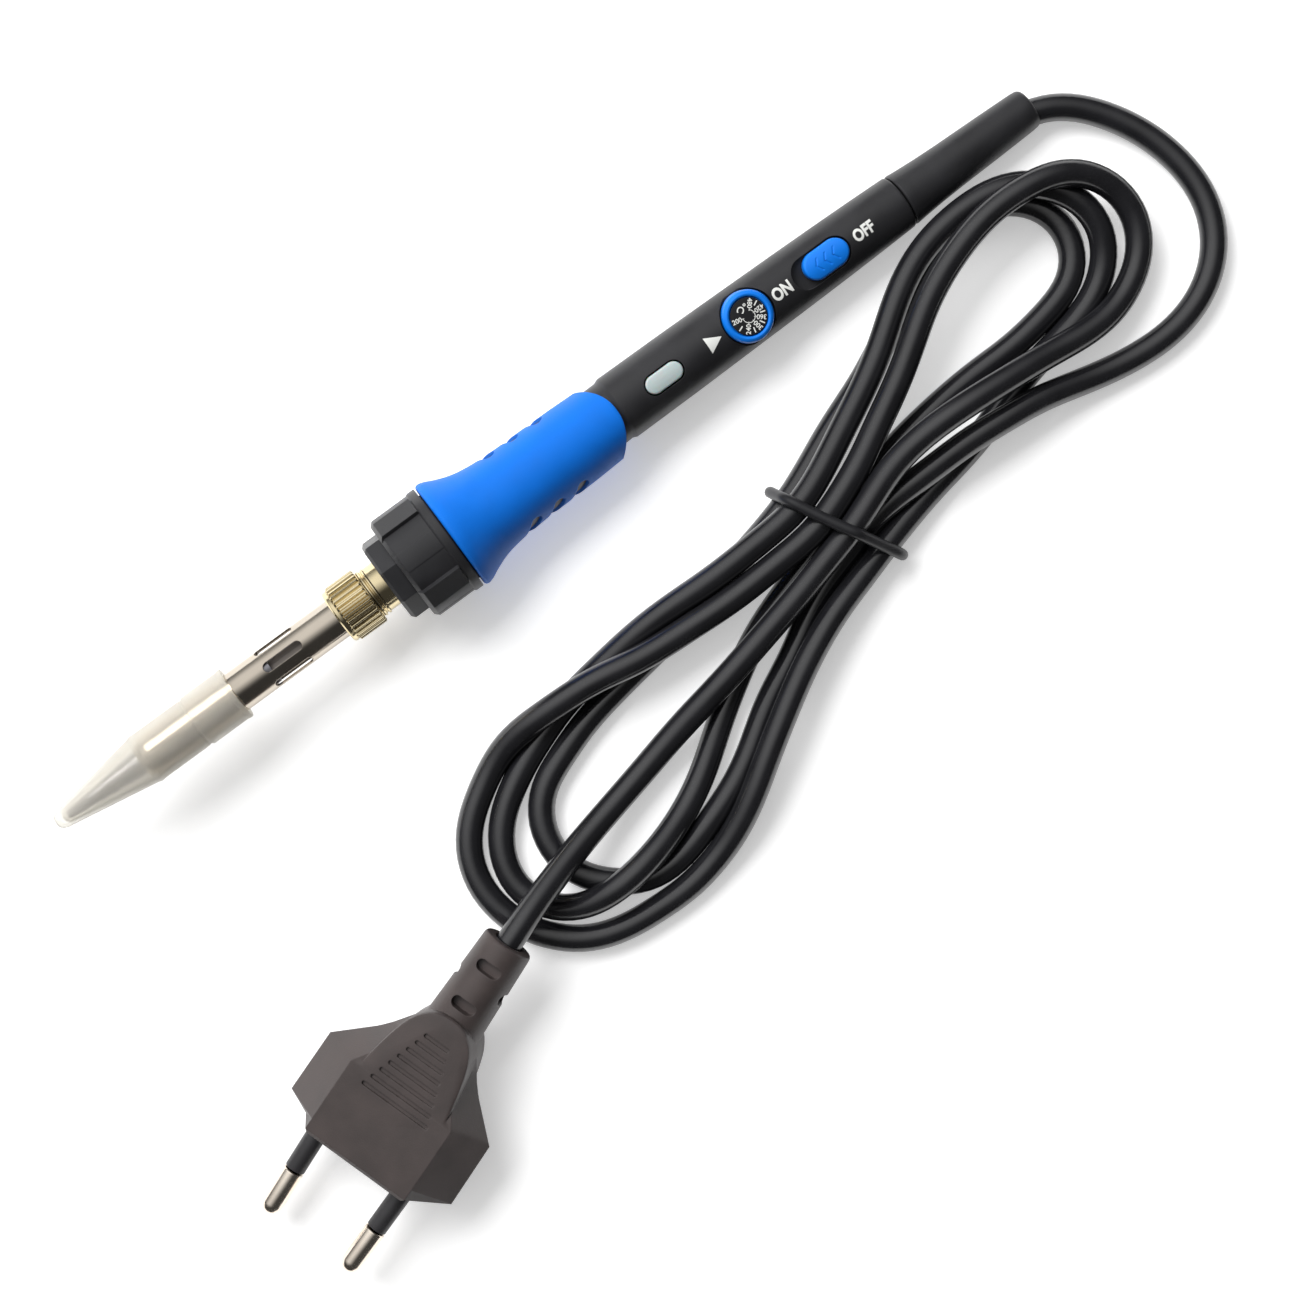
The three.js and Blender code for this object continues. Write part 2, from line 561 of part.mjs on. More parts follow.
// Closed solid through six-sided cross-sections: [x, half width, half width of flat, half thickness].
function hexagonLoft(sections) {
  const corners = ([x, ridge, flat, thick]) => [
    [x, ridge, 0], [x, flat, thick], [x, -flat, thick], [x, -ridge, 0], [x, -flat, -thick], [x, flat, -thick],
  ];
  const positions = sections.flatMap(corners).flat();
  const faces = [];
  for (let i = 0; i < sections.length - 1; i += 1) {
    for (let k = 0; k < 6; k += 1) {
      const here = 6 * i + k;
      const next = 6 * i + ((k + 1) % 6);
      faces.push(here, next, here + 6, next, next + 6, here + 6);
    }
  }
  const last = 6 * (sections.length - 1);
  for (let k = 1; k < 5; k += 1) {
    faces.push(0, k + 1, k);
    faces.push(last, last + k, last + k + 1);
  }
  const geometry = new THREE.BufferGeometry();
  geometry.setAttribute('position', new THREE.Float32BufferAttribute(positions, 3));
  geometry.setIndex(faces);
  return geometry;
}

// Flat body with bevelled sides, drawn out into the strain relief.
function plugBody() {
  const body = solid(hexagonLoft([
    [0, 11.8, 10.2, 6.3], [0.7, 13, 10.8, 6.85], [2.8, 17.65, 10.8, 6.85], [15.3, 17.5, 10.8, 6.85],
    [24, 9.8, 8.2, 6.4], [32, 5.9, 3.6, 5.0], [34, 5.2, 3, 4.6],
  ]));
  const relief = solid(turned([[30, 0], [30, 5.3], [40, 4.95], [47.3, 4.7], [47.3, 0]], 20));
  const cordHole = solid(rod(44, 50, CORD_D / 2 + 0.4, 16));
  let plug = body.add(relief).subtract(cordHole);
  [-1, 1].forEach((side) => {
    const sink = solid(rod(-1, 2 * GAP, SLEEVE_SINK_R, 16));
    const hole = solid(rod(-1, 6, 1.5)).add(sink);
    plug = plug.subtract(hole.translate([0, (side * PIN_PITCH) / 2, 0]));
  });
  return surface(plug);
}

const plug = new THREE.Group();
plug.position.set(...PLUG_AT);
plug.rotation.order = 'ZYX';
plug.rotation.set(
  THREE.MathUtils.degToRad(-PLUG_ROLL),
  THREE.MathUtils.degToRad(-PLUG_PITCH),
  THREE.MathUtils.degToRad(PLUG_YAW),
);
soldering_iron.add(plug);

add(plug, 'plug_body', plugBody(), 'pvc');
[-1, 1].forEach((side) => {
  const label = side < 0 ? 'right' : 'left';
  const pin = turned([
    [-PIN_LENGTH, 0], [-PIN_LENGTH + 0.2, 1.1], [-PIN_LENGTH + 0.8, 1.75], [-PIN_LENGTH + 1.6, 2],
    [-SLEEVE_LENGTH - GAP, 2], [-SLEEVE_LENGTH - GAP, 1.2], [5, 1.2], [5, 0],
  ]);
  const sleeve = hollow([[-SLEEVE_LENGTH, SLEEVE_R], [GAP, SLEEVE_R]], [[GAP, 1.5], [-SLEEVE_LENGTH, 1.5]],
    SMALL_ROUND);
  const pieces = [
    add(plug, `plug_pin_${label}`, pin, 'silver'),
    add(plug, `pin_sleeve_${label}`, sleeve, 'pvc'),
  ];
  pieces.forEach((mesh) => {
    mesh.position.y = (side * PIN_PITCH) / 2;
    mesh.rotation.z = THREE.MathUtils.degToRad(side * PIN_TOE_IN);
  });
});

export default soldering_iron;
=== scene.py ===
"""A pencil soldering iron with a temperature dial and a slide switch, lying on a pale table.

Its black cord is tied in three loose turns and ends in a flat two-pin plug. Pieces are drawn in
millimetres in the iron's or the plug's own frame, and placed in the row frame in metres.
"""
import json
import math

import bmesh
import bpy
import numpy as np
from mathutils import Matrix, Vector, geometry


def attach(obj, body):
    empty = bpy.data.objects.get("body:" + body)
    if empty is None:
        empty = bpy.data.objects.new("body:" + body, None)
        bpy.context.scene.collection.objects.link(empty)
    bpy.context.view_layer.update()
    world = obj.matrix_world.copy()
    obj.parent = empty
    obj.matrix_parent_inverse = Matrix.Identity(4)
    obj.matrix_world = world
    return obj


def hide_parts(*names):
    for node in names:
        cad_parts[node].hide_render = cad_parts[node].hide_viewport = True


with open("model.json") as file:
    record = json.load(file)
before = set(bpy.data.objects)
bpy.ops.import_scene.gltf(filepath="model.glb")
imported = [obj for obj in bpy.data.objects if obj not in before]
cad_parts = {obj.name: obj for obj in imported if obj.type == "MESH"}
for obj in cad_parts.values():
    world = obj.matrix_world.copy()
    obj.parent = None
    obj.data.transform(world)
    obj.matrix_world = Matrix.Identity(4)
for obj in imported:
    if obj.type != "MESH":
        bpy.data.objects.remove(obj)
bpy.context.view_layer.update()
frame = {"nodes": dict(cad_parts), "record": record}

MM = 0.001
scene = bpy.context.scene

# ------------------------------------------------------------------ driving dimensions, mm

# stations along the iron, from the closed end of the tip cap
CAP_MOUTH = 38.8
CAP_STEP = 30.2
BARREL_FRONT = 18.2
NUT_FRONT = 60.9
NUT_REAR = 67.8
NOSE_FRONT = 71.5
COLLAR_FRONT = 75.0
COLLAR_REAR = 85.1
GRIP_FRONT = 85.4
GRIP_REAR = 122.0
WINDOW_AT = 132.2
TRIANGLE_AT = 143.2
DIAL_AT = 150.7
ON_AT = 158.2
SWITCH_AT = 168.0
OFF_AT = 176.3
SEAM_AT = 185.9
LENGTH = 215.0

# the handle sits to one side of the grip and is rolled about its own axis
HANDLE_OFFSET = 0.85
HANDLE_ROLL = 11.0
GRIP_OFFSET = 0.25
OFFSET_FROM = 95.3
OFFSET_TO = 122.0

# radii
BARREL_R = 3.8
BUSH_R = 4.55
NOSE_R = 8.2
COLLAR_R = 10.3
COLLAR_LUG = 10.75                  # distance from the axis to the flat of a lug
SOCKET_R = 9.05
HANDLE_OUTLINE = [(OFFSET_TO + 0.9, 6.25), (137, 6.15), (149, 5.98), (161, 5.8), (169, 5.65), (177, 5.45)]

# openings in the sides of the grip
GRIP_SLOT_AT = 97.6
GRIP_SLOT_STEP = 5.2
GRIP_SLOT_SLANT = 58
GRIP_SLOT_LENGTH = 8.8
GRIP_SLOT_WIDTH = 2.4

# controls, heights above the iron's axis
DIAL_R = 4.75
DIAL_FLOOR = 3.3
DIAL_TOP = 6.3
DIAL_FACE_R = 3.35
SLIDER_LENGTH = 9.2
SLIDER_WIDTH = 5.2
SLIDER_TRAVEL = 2.2
SWITCH_FLOOR = 3.9
SLIDER_TOP = 5.95

# cord, tie and plug
CORD_D = 5.0
MIN_BEND = 16.0                     # tighter bends are eased
TOUCH = 0.04                        # gap left between two turns
CLEARANCE = 0.05                    # under the cord, and between it and its tie
SETTLE_ROUNDS = 260
ROUTE_STEP = 2.4                    # while the route settles
CORD_STEP = 1.6                     # along the finished cord
HELD_AT_CAP = 12                    # lengths of cord that stay where they are drawn
HELD_AT_PLUG = 6
TIE_CENTRE = (34.4, -38.0)
TIE_ANGLE = 64.1
TIE_WIRE_R = 1.05
TIE_STEP = 0.6
TIE_REACH = 16                      # strands within this of the tie's centre are tied
PLUG_AT = (-100.7, -79.8, 8.6)
PLUG_YAW = 19.5
PLUG_PITCH = 5.0
PLUG_ROLL = 6.0
PIN_PITCH = 18.6
PIN_LENGTH = 18.2
SLEEVE_LENGTH = 8.7
PIN_TOE_IN = 1.7

# ------------------------------------------------------------------ frames

joints = {joint["name"]: joint for joint in frame["record"]["behaviour"]["joints"]}
slide_axis = Vector(joints["switch_slide"]["axis"])
TILT = math.atan2(slide_axis.z, -slide_axis.x)
dial_at = Vector(joints["dial_turn"]["pos_m"])
IRON = (Matrix.Translation((dial_at.x, 0, dial_at.z)) @ Matrix.Rotation(TILT, 4, "Y")
        @ Matrix.Scale(MM, 4) @ Matrix.Translation((-DIAL_AT, 0, 0)))
HANDLE = (IRON @ Matrix.Translation((0, HANDLE_OFFSET, 0))
          @ Matrix.Rotation(math.radians(HANDLE_ROLL), 4, "X"))
PLUG = (Matrix.Scale(MM, 4) @ Matrix.Translation(PLUG_AT)
        @ Matrix.Rotation(math.radians(PLUG_YAW), 4, "Z")
        @ Matrix.Rotation(math.radians(-PLUG_PITCH), 4, "Y")
        @ Matrix.Rotation(math.radians(-PLUG_ROLL), 4, "X"))


def station(s):
    """Point on the handle's axis, in row millimetres."""
    return tuple((HANDLE @ Vector((s, 0, 0))) / MM)


# ------------------------------------------------------------------ camera

CAMERA_AT = (-5.6, -37.3, 436.4)
CAMERA_LENS = 66.46
CAMERA_TURN = -36.44                # the iron runs from lower left to upper right

camera_data = bpy.data.cameras.new("camera")
camera_data.lens = CAMERA_LENS
camera_data.sensor_width = 36
camera = bpy.data.objects.new("camera", camera_data)
camera.location = Vector(CAMERA_AT) * MM
camera.rotation_euler = (0, 0, math.radians(CAMERA_TURN))
scene.collection.objects.link(camera)
scene.camera = camera

# ------------------------------------------------------------------ cord route, mm

LEAD = [
    station(199.8), station(206), (103.25, 0.73, 4.03), (107.25, 0.28, 3.81), (109.9, -0.6, 3.66),
    (112.7, -2.3, 3.45), (115.2, -4.6, 3.2), (118.4, -8.8, 2.9), (121.5, -14.3, 2.65), (123.5, -20.6, 2.6),
    (124.2, -26, 2.6), (123.7, -31.9, 2.6), (121.4, -37.5, 2.6), (116.9, -42.5, 2.6), (110.4, -46, 2.6),
    (102.9, -47.3, 2.6), (94.4, -46.6, 2.7), (86.9, -45, 3.4),
]
FIRST_TURN = [
    (77.4, -42.5, 6), (67.4, -41.5, 7.5), (62.4, -41, 7.6), (52.4, -41.5, 6.5), (38.9, -43, 4.4),
    (34.9, -44, 4.4), (22.4, -49, 3.2), (14.9, -53.5, 2.5), (5.9, -57.5, 2.5), (-6.1, -66, 2.5),
    (-13.6, -69.5, 2.5), (-22.1, -71.5, 2.5), (-28.1, -72, 2.5), (-34.1, -69, 2.5), (-39.6, -65, 2.5),
    (-41.6, -60.5, 2.5), (-41.6, -56, 2.5), (-40.6, -51, 2.5), (-38.6, -47, 2.5), (-36.1, -44.5, 2.5),
    (-32.6, -42.5, 2.5), (-27.6, -40.5, 2.5), (-21.1, -39, 2.5), (-14.1, -39, 2.5), (-5.1, -38, 2.5),
    (6.4, -36, 2.5), (18.4, -33.5, 3), (30.9, -30.5, 4.4),
    (37.9, -27.5, 3.5), (44.4, -24.5, 2.5), (54.4, -21, 2.5), (63.4, -16.5, 2.5), (68.9, -14, 2.5),
    (74.4, -11.5, 2.5), (81, -9, 2.5), (88.5, -8, 2.5), (94.7, -9.6, 2.5), (99.2, -14, 2.5),
    (101, -20.2, 2.5), (99.2, -26.4, 2.5), (94.7, -30.8, 2.5), (88.5, -32.4, 2.5), (81.4, -32.4, 2.5),
    (71.9, -32, 2.5), (64.4, -32.5, 2.5), (55.4, -33.5, 2.5), (47.9, -35, 3), (36.9, -38.5, 4.4),
]
SECOND_TURN = [
    (29.9, -41, 4), (18.4, -44, 2.6), (10.4, -47, 2.5), (3.4, -51, 2.5), (-3.6, -55.5, 2.5),
    (-9.6, -60, 2.5), (-14.6, -63, 3), (-22.1, -66, 5), (-28.6, -67.5, 7.2), (-36.1, -68, 6),
    (-43.1, -67, 3.5), (-49.1, -64.5, 2.5), (-51.6, -57.5, 2.5), (-50.1, -53, 2.5), (-47.6, -48.5, 2.5),
    (-44.6, -45, 2.5), (-40.6, -42, 2.5), (-35.6, -40, 2.6), (-25.6, -37, 3.5), (-14.6, -35, 5),
    (-1.1, -34, 7), (10.9, -34, 8), (20.4, -33.5, 8.6), (29.4, -33, 8.8),
    (36.4, -30.5, 8.2), (45.4, -26, 7.5), (54.4, -21.5, 7.5), (60.9, -17.5, 7.5), (66.9, -13, 7.5),
    (74.9, -8.8, 7.5), (83.9, -7.2, 7.5), (91.9, -7.4, 7.5), (97.9, -9.5, 7.5), (102.4, -13.5, 7.5),
    (104.9, -17.5, 7), (105.9, -22, 6), (104.9, -26, 4.5), (102.9, -29.5, 3), (97.4, -33.5, 2.5),
    (92.4, -34.5, 2.5), (87.4, -35.5, 2.5), (82.9, -36, 2.5), (75.9, -38.5, 2.5), (67.9, -41, 2.5),
    (59.9, -43, 2.5), (51.4, -44, 3.2), (40.9, -45.5, 4.4),
]
THIRD_TURN = [
    (34.4, -47.5, 4.4), (26.4, -50.5, 5.5), (15.9, -55.5, 6.8), (7.4, -60.5, 7), (0.9, -64.5, 6.8),
    (-8.1, -69.5, 5), (-17.6, -73.5, 3), (-27.6, -75.5, 2.5), (-37.1, -75.5, 2.5), (-45.6, -73, 2.5),
    (-51.1, -68, 2.5), (-54.6, -61, 2.5), (-56.1, -55.5, 2.5), (-55.1, -50, 2.5), (-52.6, -45, 2.5),
    (-48.6, -41.5, 2.5), (-43.1, -39, 2.5), (-37.6, -37, 3), (-32.1, -36.5, 4.5), (-25.6, -35.5, 6.5),
    (-16.1, -35.5, 7.8), (-7.6, -37, 8), (1.4, -37.5, 8), (9.9, -38.5, 8), (16.4, -38.5, 8),
    (24.9, -38, 8.5), (31.9, -38, 8.8),
    (41.4, -34.5, 9), (49.9, -29.5, 9.5), (58.4, -25, 10), (64.4, -21, 10.5), (70.9, -16.5, 11),
    (80.4, -12.5, 12), (89.4, -10.5, 12.2), (97.4, -11, 12), (104.9, -13, 10), (109.9, -18.5, 8),
    (111.9, -25, 6), (109.9, -30.5, 5), (105.4, -34.5, 4.5), (98.4, -37, 4.5), (89.4, -37.5, 6),
    (76.4, -36.5, 10), (62.9, -35.5, 12), (54.4, -35.5, 11.5), (46.4, -37, 10), (38.4, -40, 8.8),
    (30.9, -42.5, 8.6), (22.4, -45, 8.2), (11.4, -47.5, 7.8), (4.9, -49, 7.6),
]
TAIL = [
    (-0.1, -50, 7.2), (-10.1, -51.8, 5.2), (-19.1, -54, 4.2), (-29.6, -56.3, 5.2), (-37.1, -58, 7.2),
    (-44.1, -60, 9.6), (-50.2, -61.85, 11.8), (-54.6, -63.48, 12.84), (-59.1, -65.07, 12.46),
]


def smooth_curve(points, step):
    """Centripetal curve through the points, resampled to an even step."""
    knots = np.array(points, float)
    ends = (2 * knots[0] - knots[1], 2 * knots[-1] - knots[-2])
    knots = np.vstack([ends[0], knots, ends[1]])
    dense = []
    for a, b, c, d in zip(knots, knots[1:], knots[2:], knots[3:]):
        t1 = math.sqrt(np.linalg.norm(b - a))
        t2 = t1 + math.sqrt(np.linalg.norm(c - b))
        t3 = t2 + math.sqrt(np.linalg.norm(d - c))
        for t in np.linspace(t1, t2, 12, endpoint=False):
            ab = (t1 - t) / t1 * a + t / t1 * b
            bc = (t2 - t) / (t2 - t1) * b + (t - t1) / (t2 - t1) * c
            cd = (t3 - t) / (t3 - t2) * c + (t - t2) / (t3 - t2) * d
            abc = (t2 - t) / t2 * ab + t / t2 * bc
            bcd = (t3 - t) / (t3 - t1) * bc + (t - t1) / (t3 - t1) * cd
            dense.append((t2 - t) / (t2 - t1) * abc + (t - t1) / (t2 - t1) * bcd)
    dense.append(knots[-2])
    return evenly(np.array(dense), step)


def evenly(line, step):
    """Points at an even step along the line."""
    along = np.concatenate([[0], np.cumsum(np.linalg.norm(np.diff(line, axis=0), axis=1))])
    stops = np.linspace(0, along[-1], int(round(along[-1] / step)) + 1)
    return np.stack([np.interp(stops, along, line[:, k]) for k in range(3)], axis=1)


def settle(line, step):
    """Lets the cord's crossings push each other apart until they lie on each other, and its bends ease."""
    home = line.copy()
    count = len(line)
    fixed = np.zeros(count, bool)
    fixed[:int(HELD_AT_CAP / step)] = True
    fixed[-int(HELD_AT_PLUG / step):] = True
    index = np.arange(count)
    apart = np.abs(index[:, None] - index[None, :]) * step > 3 * CORD_D
    origin = np.array(station(0))
    axis = np.array(station(1)) - origin
    axis /= np.linalg.norm(axis)
    for _ in range(SETTLE_ROUNDS):
        line[1:-1] += 0.2 * (0.5 * (line[:-2] + line[2:]) - line[1:-1])
        line += 0.12 * (home - line)
        for _ in range(2):
            gap = line[:, None, :] - line[None, :, :]
            far = np.linalg.norm(gap, axis=2)
            touch = apart & (far < CORD_D + TOUCH)
            weight = np.where(touch, 0.5 * (CORD_D + TOUCH - far) / np.maximum(far, 0.3), 0)
            shift = np.einsum("ij,ijk->ik", weight, gap)
            share = np.maximum(touch.sum(axis=1), 1)
            line += 1.3 * shift / np.sqrt(share)[:, None]
            line[:, 2] = np.maximum(line[:, 2], CORD_D / 2 + CLEARANCE)
        along = (line - origin) @ axis
        out = line - origin - along[:, None] * axis
        away = np.linalg.norm(out, axis=1)
        radius = np.interp(along, [86, 97, 150, 187, 215], [11, 6.5, 5.95, 5.1, 4.0])
        need = radius + CORD_D / 2 + 0.15
        near = (along > 60) & (along < 214.5) & (away < need) & (index > 60 / step)
        line[near] += out[near] / away[near][:, None] * (need - away)[near][:, None]
        for _ in range(4):
            bend = line[4:] + line[:-4] - 2 * line[2:-2]
            size = np.linalg.norm(bend, axis=1)
            over = np.maximum(size - (2 * step) ** 2 / MIN_BEND, 0)
            ease = bend * (over / np.maximum(size, 1e-6))[:, None]
            line[2:-2] += 0.25 * ease
            line[4:] -= 0.1 * ease
            line[:-4] -= 0.1 * ease
            line[fixed] = home[fixed]
        line[fixed] = home[fixed]
    for _ in range(3):
        line[1:-1] += 0.25 * (line[:-2] + line[2:] - 2 * line[1:-1])
    return line


def cord_line():
    """The cord's whole centreline, from inside the rear cap to inside the plug."""
    route = smooth_curve(LEAD + FIRST_TURN + SECOND_TURN + THIRD_TURN + TAIL, ROUTE_STEP)
    return smooth_curve(settle(route, ROUTE_STEP), CORD_STEP)


# ------------------------------------------------------------------ finishes


def node(tree, kind, inputs=(), **settings):
    """Shader node with its settings made and its inputs linked or filled in."""
    made = tree.nodes.new("ShaderNode" + kind)
    for key, value in settings.items():
        setattr(made, key, value)
    for key, value in dict(inputs).items():
        if isinstance(value, bpy.types.NodeSocket):
            tree.links.new(value, made.inputs[key])
        else:
            made.inputs[key].default_value = value
    return made


def noise(tree, size, detail=3, stretch=(1, 1, 1)):
    """Noise whose features are about size millimetres across, stretched along an axis by a factor."""
    place = node(tree, "TexCoord").outputs["Object"]
    turned = node(tree, "Mapping", {"Vector": place, "Rotation": (0, -TILT, 0), "Scale": stretch})
    return node(tree, "TexNoise", {"Vector": turned.outputs[0], "Scale": 1 / (size * MM), "Detail": detail})


def ranged(tree, value, low, high, bottom=0.3, top=0.7):
    """The value, which runs from bottom to top, mapped to run from low to high."""
    made = node(tree, "MapRange", {"Value": value, "From Min": bottom, "From Max": top,
                                   "To Min": low, "To Max": high})
    return made.outputs["Result"]


def tinted(tree, factor, first, second):
    """Colour between first and second."""
    made = node(tree, "Mix", data_type="RGBA")
    tree.links.new(factor, made.inputs["Factor"])
    made.inputs["A"].default_value = (*first, 1)
    if isinstance(second, bpy.types.NodeSocket):
        tree.links.new(second, made.inputs["B"])
    else:
        made.inputs["B"].default_value = (*second, 1)
    return made.outputs["Result"]


def finish(name, base, roughness, grain=0.25, relief=0.012, uneven=0.06, mottle=0.18, edge=0.1, wear=0.35,
           stretch=(1, 1, 1), **sockets):
    """Principled finish: fine surface grain, uneven gloss and colour, and softened, slightly worn edges."""
    made = bpy.data.materials.new(name)
    made.use_nodes = True
    tree = made.node_tree
    shader = tree.nodes["Principled BSDF"]
    for key, value in sockets.items():
        shader.inputs[key.replace("_", " ")].default_value = value
    fine = noise(tree, grain, 4, stretch).outputs["Fac"]
    broad = noise(tree, 6).outputs["Fac"]
    rounded_off = node(tree, "Bevel", {"Radius": edge * MM}, samples=4).outputs["Normal"]
    flat = node(tree, "NewGeometry").outputs["Normal"]
    turn = node(tree, "VectorMath", {0: rounded_off, 1: flat}, operation="DOT_PRODUCT").outputs["Value"]
    patches = ranged(tree, noise(tree, 1.5).outputs["Fac"], 0, 1)
    worn = node(tree, "Math", {0: ranged(tree, turn, 0, wear, 0.985, 0.8), 1: patches},
                operation="MULTIPLY")
    dark = tuple(channel * (1 - mottle) for channel in base)
    light = tuple(min(1, channel * (1 + mottle)) for channel in base)
    colour = tinted(tree, ranged(tree, broad, 0, 1), dark, light)
    bright = tuple(channel + 0.16 * (1 - channel) for channel in base)
    mixed = node(tree, "Mix", {"Factor": worn.outputs[0]}, data_type="RGBA")
    tree.links.new(colour, mixed.inputs["A"])
    mixed.inputs["B"].default_value = (*bright, 1)
    tree.links.new(mixed.outputs["Result"], shader.inputs["Base Color"])
    tree.links.new(ranged(tree, broad, roughness - uneven, roughness + uneven), shader.inputs["Roughness"])
    bump = node(tree, "Bump", {"Strength": 1, "Distance": relief * MM, "Height": fine,
                               "Normal": rounded_off})
    tree.links.new(bump.outputs[0], shader.inputs["Normal"])
    return made


def frosted():
    """Thin matt translucent plastic: part haze, part clear."""
    made = finish("frosted_cap", (0.88, 0.855, 0.80), 0.5, grain=0.35, relief=0.01, mottle=0.02, wear=0.1)
    tree = made.node_tree
    shader = tree.nodes["Principled BSDF"]
    haze = node(tree, "BsdfTranslucent", {"Color": (0.78, 0.76, 0.70, 1)})
    milky = node(tree, "MixShader", {0: 0.35, 1: shader.outputs[0], 2: haze.outputs[0]})
    clear = node(tree, "BsdfTransparent", {"Color": (0.96, 0.95, 0.93, 1)})
    blurred = node(tree, "BsdfRefraction", {"Color": (0.96, 0.95, 0.92, 1), "Roughness": 0.35, "IOR": 1.1})
    through = node(tree, "MixShader", {0: 0.65, 1: clear.outputs[0], 2: blurred.outputs[0]})
    rim = node(tree, "LayerWeight", {"Blend": 0.25}).outputs["Facing"]
    both = node(tree, "MixShader", {0: ranged(tree, rim, 0.3, 0.8, 0, 1),
                                    1: through.outputs[0], 2: milky.outputs[0]})
    tree.links.new(both.outputs[0], tree.nodes["Material Output"].inputs["Surface"])
    return made


RING_LINES = (12, 1, 1)             # fine lines round a turned piece
FINISHES = {
    "frosted_cap": frosted(),
    "plated_bit": finish("plated_bit", (0.34, 0.34, 0.37), 0.3, 0.5, 0.006, Metallic=1),
    "polished_steel": finish("polished_steel", (0.58, 0.52, 0.44), 0.16, 1.2, 0.003, uneven=0.04,
                             mottle=0.05, edge=0.16, wear=0.7, stretch=RING_LINES, Metallic=1),
    "plated_brass": finish("plated_brass", (0.80, 0.68, 0.43), 0.17, 0.6, 0.004, mottle=0.06, edge=0.1,
                           wear=0.6, Metallic=1),
    "alumina": finish("alumina", (0.30, 0.27, 0.25), 0.6, 0.2, 0.01, mottle=0.05),
    "black_plastic": finish("black_plastic", (0.021, 0.021, 0.023), 0.4, 0.22, 0.012, edge=0.14, wear=0.3),
    "blue_rubber": finish("blue_rubber", (0.003, 0.152, 0.66), 0.55, 0.3, 0.016, mottle=0.05, edge=0.3,
                          wear=0.12, Specular_IOR_Level=0.35),
    "blue_plastic": finish("blue_plastic", (0.004, 0.19, 0.78), 0.36, 0.3, 0.008, mottle=0.05, edge=0.18,
                           wear=0.2),
    "dial_black": finish("dial_black", (0.012, 0.012, 0.014), 0.35, 0.3, 0.006, wear=0.1),
    "lens_plastic": finish("lens_plastic", (0.46, 0.54, 0.54), 0.32, 0.4, 0.006, mottle=0.04, edge=0.2,
                           wear=0.1, Subsurface_Weight=0.3, Subsurface_Scale=0.002),
    "board_green": finish("board_green", (0.03, 0.20, 0.07), 0.4, 0.8, 0.01),
    "component_black": finish("component_black", (0.03, 0.03, 0.034), 0.5, 0.3, 0.01),
    "capacitor_brown": finish("capacitor_brown", (0.36, 0.15, 0.05), 0.25, 0.8, 0.006),
    "wire_metal": finish("wire_metal", (0.74, 0.52, 0.36), 0.3, 0.4, 0.004, Metallic=1),
    "clamp_steel": finish("clamp_steel", (0.60, 0.60, 0.62), 0.35, 0.5, 0.006, Metallic=1),
    "cord_black": finish("cord_black", (0.012, 0.012, 0.014), 0.21, 0.5, 0.008, edge=0.05, wear=0.1,
                         Specular_IOR_Level=0.9),
    "tie_black": finish("tie_black", (0.016, 0.016, 0.018), 0.38, 0.4, 0.012, edge=0.05, wear=0.2),
    "plug_charcoal": finish("plug_charcoal", (0.056, 0.044, 0.042), 0.48, 0.28, 0.02, edge=0.3, wear=0.3,
                            Specular_IOR_Level=0.7),
    "sleeve_black": finish("sleeve_black", (0.030, 0.029, 0.031), 0.42, 0.3, 0.01),
    "pin_metal": finish("pin_metal", (0.98, 0.86, 0.74), 0.2, 0.6, 0.004, mottle=0.06, Metallic=1),
}
PRINT = finish("white_print", (0.80, 0.81, 0.78), 0.5, 0.15, 0.004, mottle=0.05, edge=0.02, wear=0)

# ------------------------------------------------------------------ mesh helpers, mm

BODY_OF = {name: body for body, names in frame["record"]["behaviour"]["bodies"].items() for name in names}
SLOT_OF = {part["node"]: part["material_slot"] for part in frame["record"]["subparts"]}


def closed_mesh(points, faces):
    """Mesh with doubled points merged and its faces turned outwards."""
    made = bmesh.new()
    corners = [made.verts.new(point) for point in points]
    for face in faces:
        if len({tuple(np.round(points[k], 5)) for k in face}) > 2:
            made.faces.new([corners[k] for k in face])
    bmesh.ops.remove_doubles(made, verts=made.verts, dist=1e-4)
    bmesh.ops.recalc_face_normals(made, faces=made.faces)
    mesh = bpy.data.meshes.new("piece")
    made.to_mesh(mesh)
    made.free()
    return mesh


def rings(rows, loop):
    """Closed surface through rows of points, which run round in a loop or stop at flat ends."""
    rows = np.asarray(rows, float)
    count, around = rows.shape[:2]
    index = np.arange(count * around).reshape(count, around)
    faces = []
    for i in range(count if loop else count - 1):
        here, there = index[i], index[(i + 1) % count]
        for k in range(around):
            beside = (k + 1) % around
            faces.append((here[k], here[beside], there[beside], there[k]))
    if not loop:
        faces += [tuple(index[0]), tuple(index[-1])]
    return closed_mesh(rows.reshape(-1, 3), faces)


def rounded(profile, radius, loop):
    """Profile with its corners rounded off."""
    points = [np.array(point, float) for point in profile]
    made = []
    for k, here in enumerate(points):
        if not loop and k in (0, len(points) - 1):
            made.append(here)
            continue
        before, after = points[k - 1] - here, points[(k + 1) % len(points)] - here
        size = min(radius, 0.45 * np.linalg.norm(before), 0.45 * np.linalg.norm(after))
        before = here + size * before / np.linalg.norm(before)
        after = here + size * after / np.linalg.norm(after)
        for t in (0, 0.25, 0.5, 0.75, 1):
            made.append((1 - t) ** 2 * before + 2 * t * (1 - t) * here + t ** 2 * after)
    return made


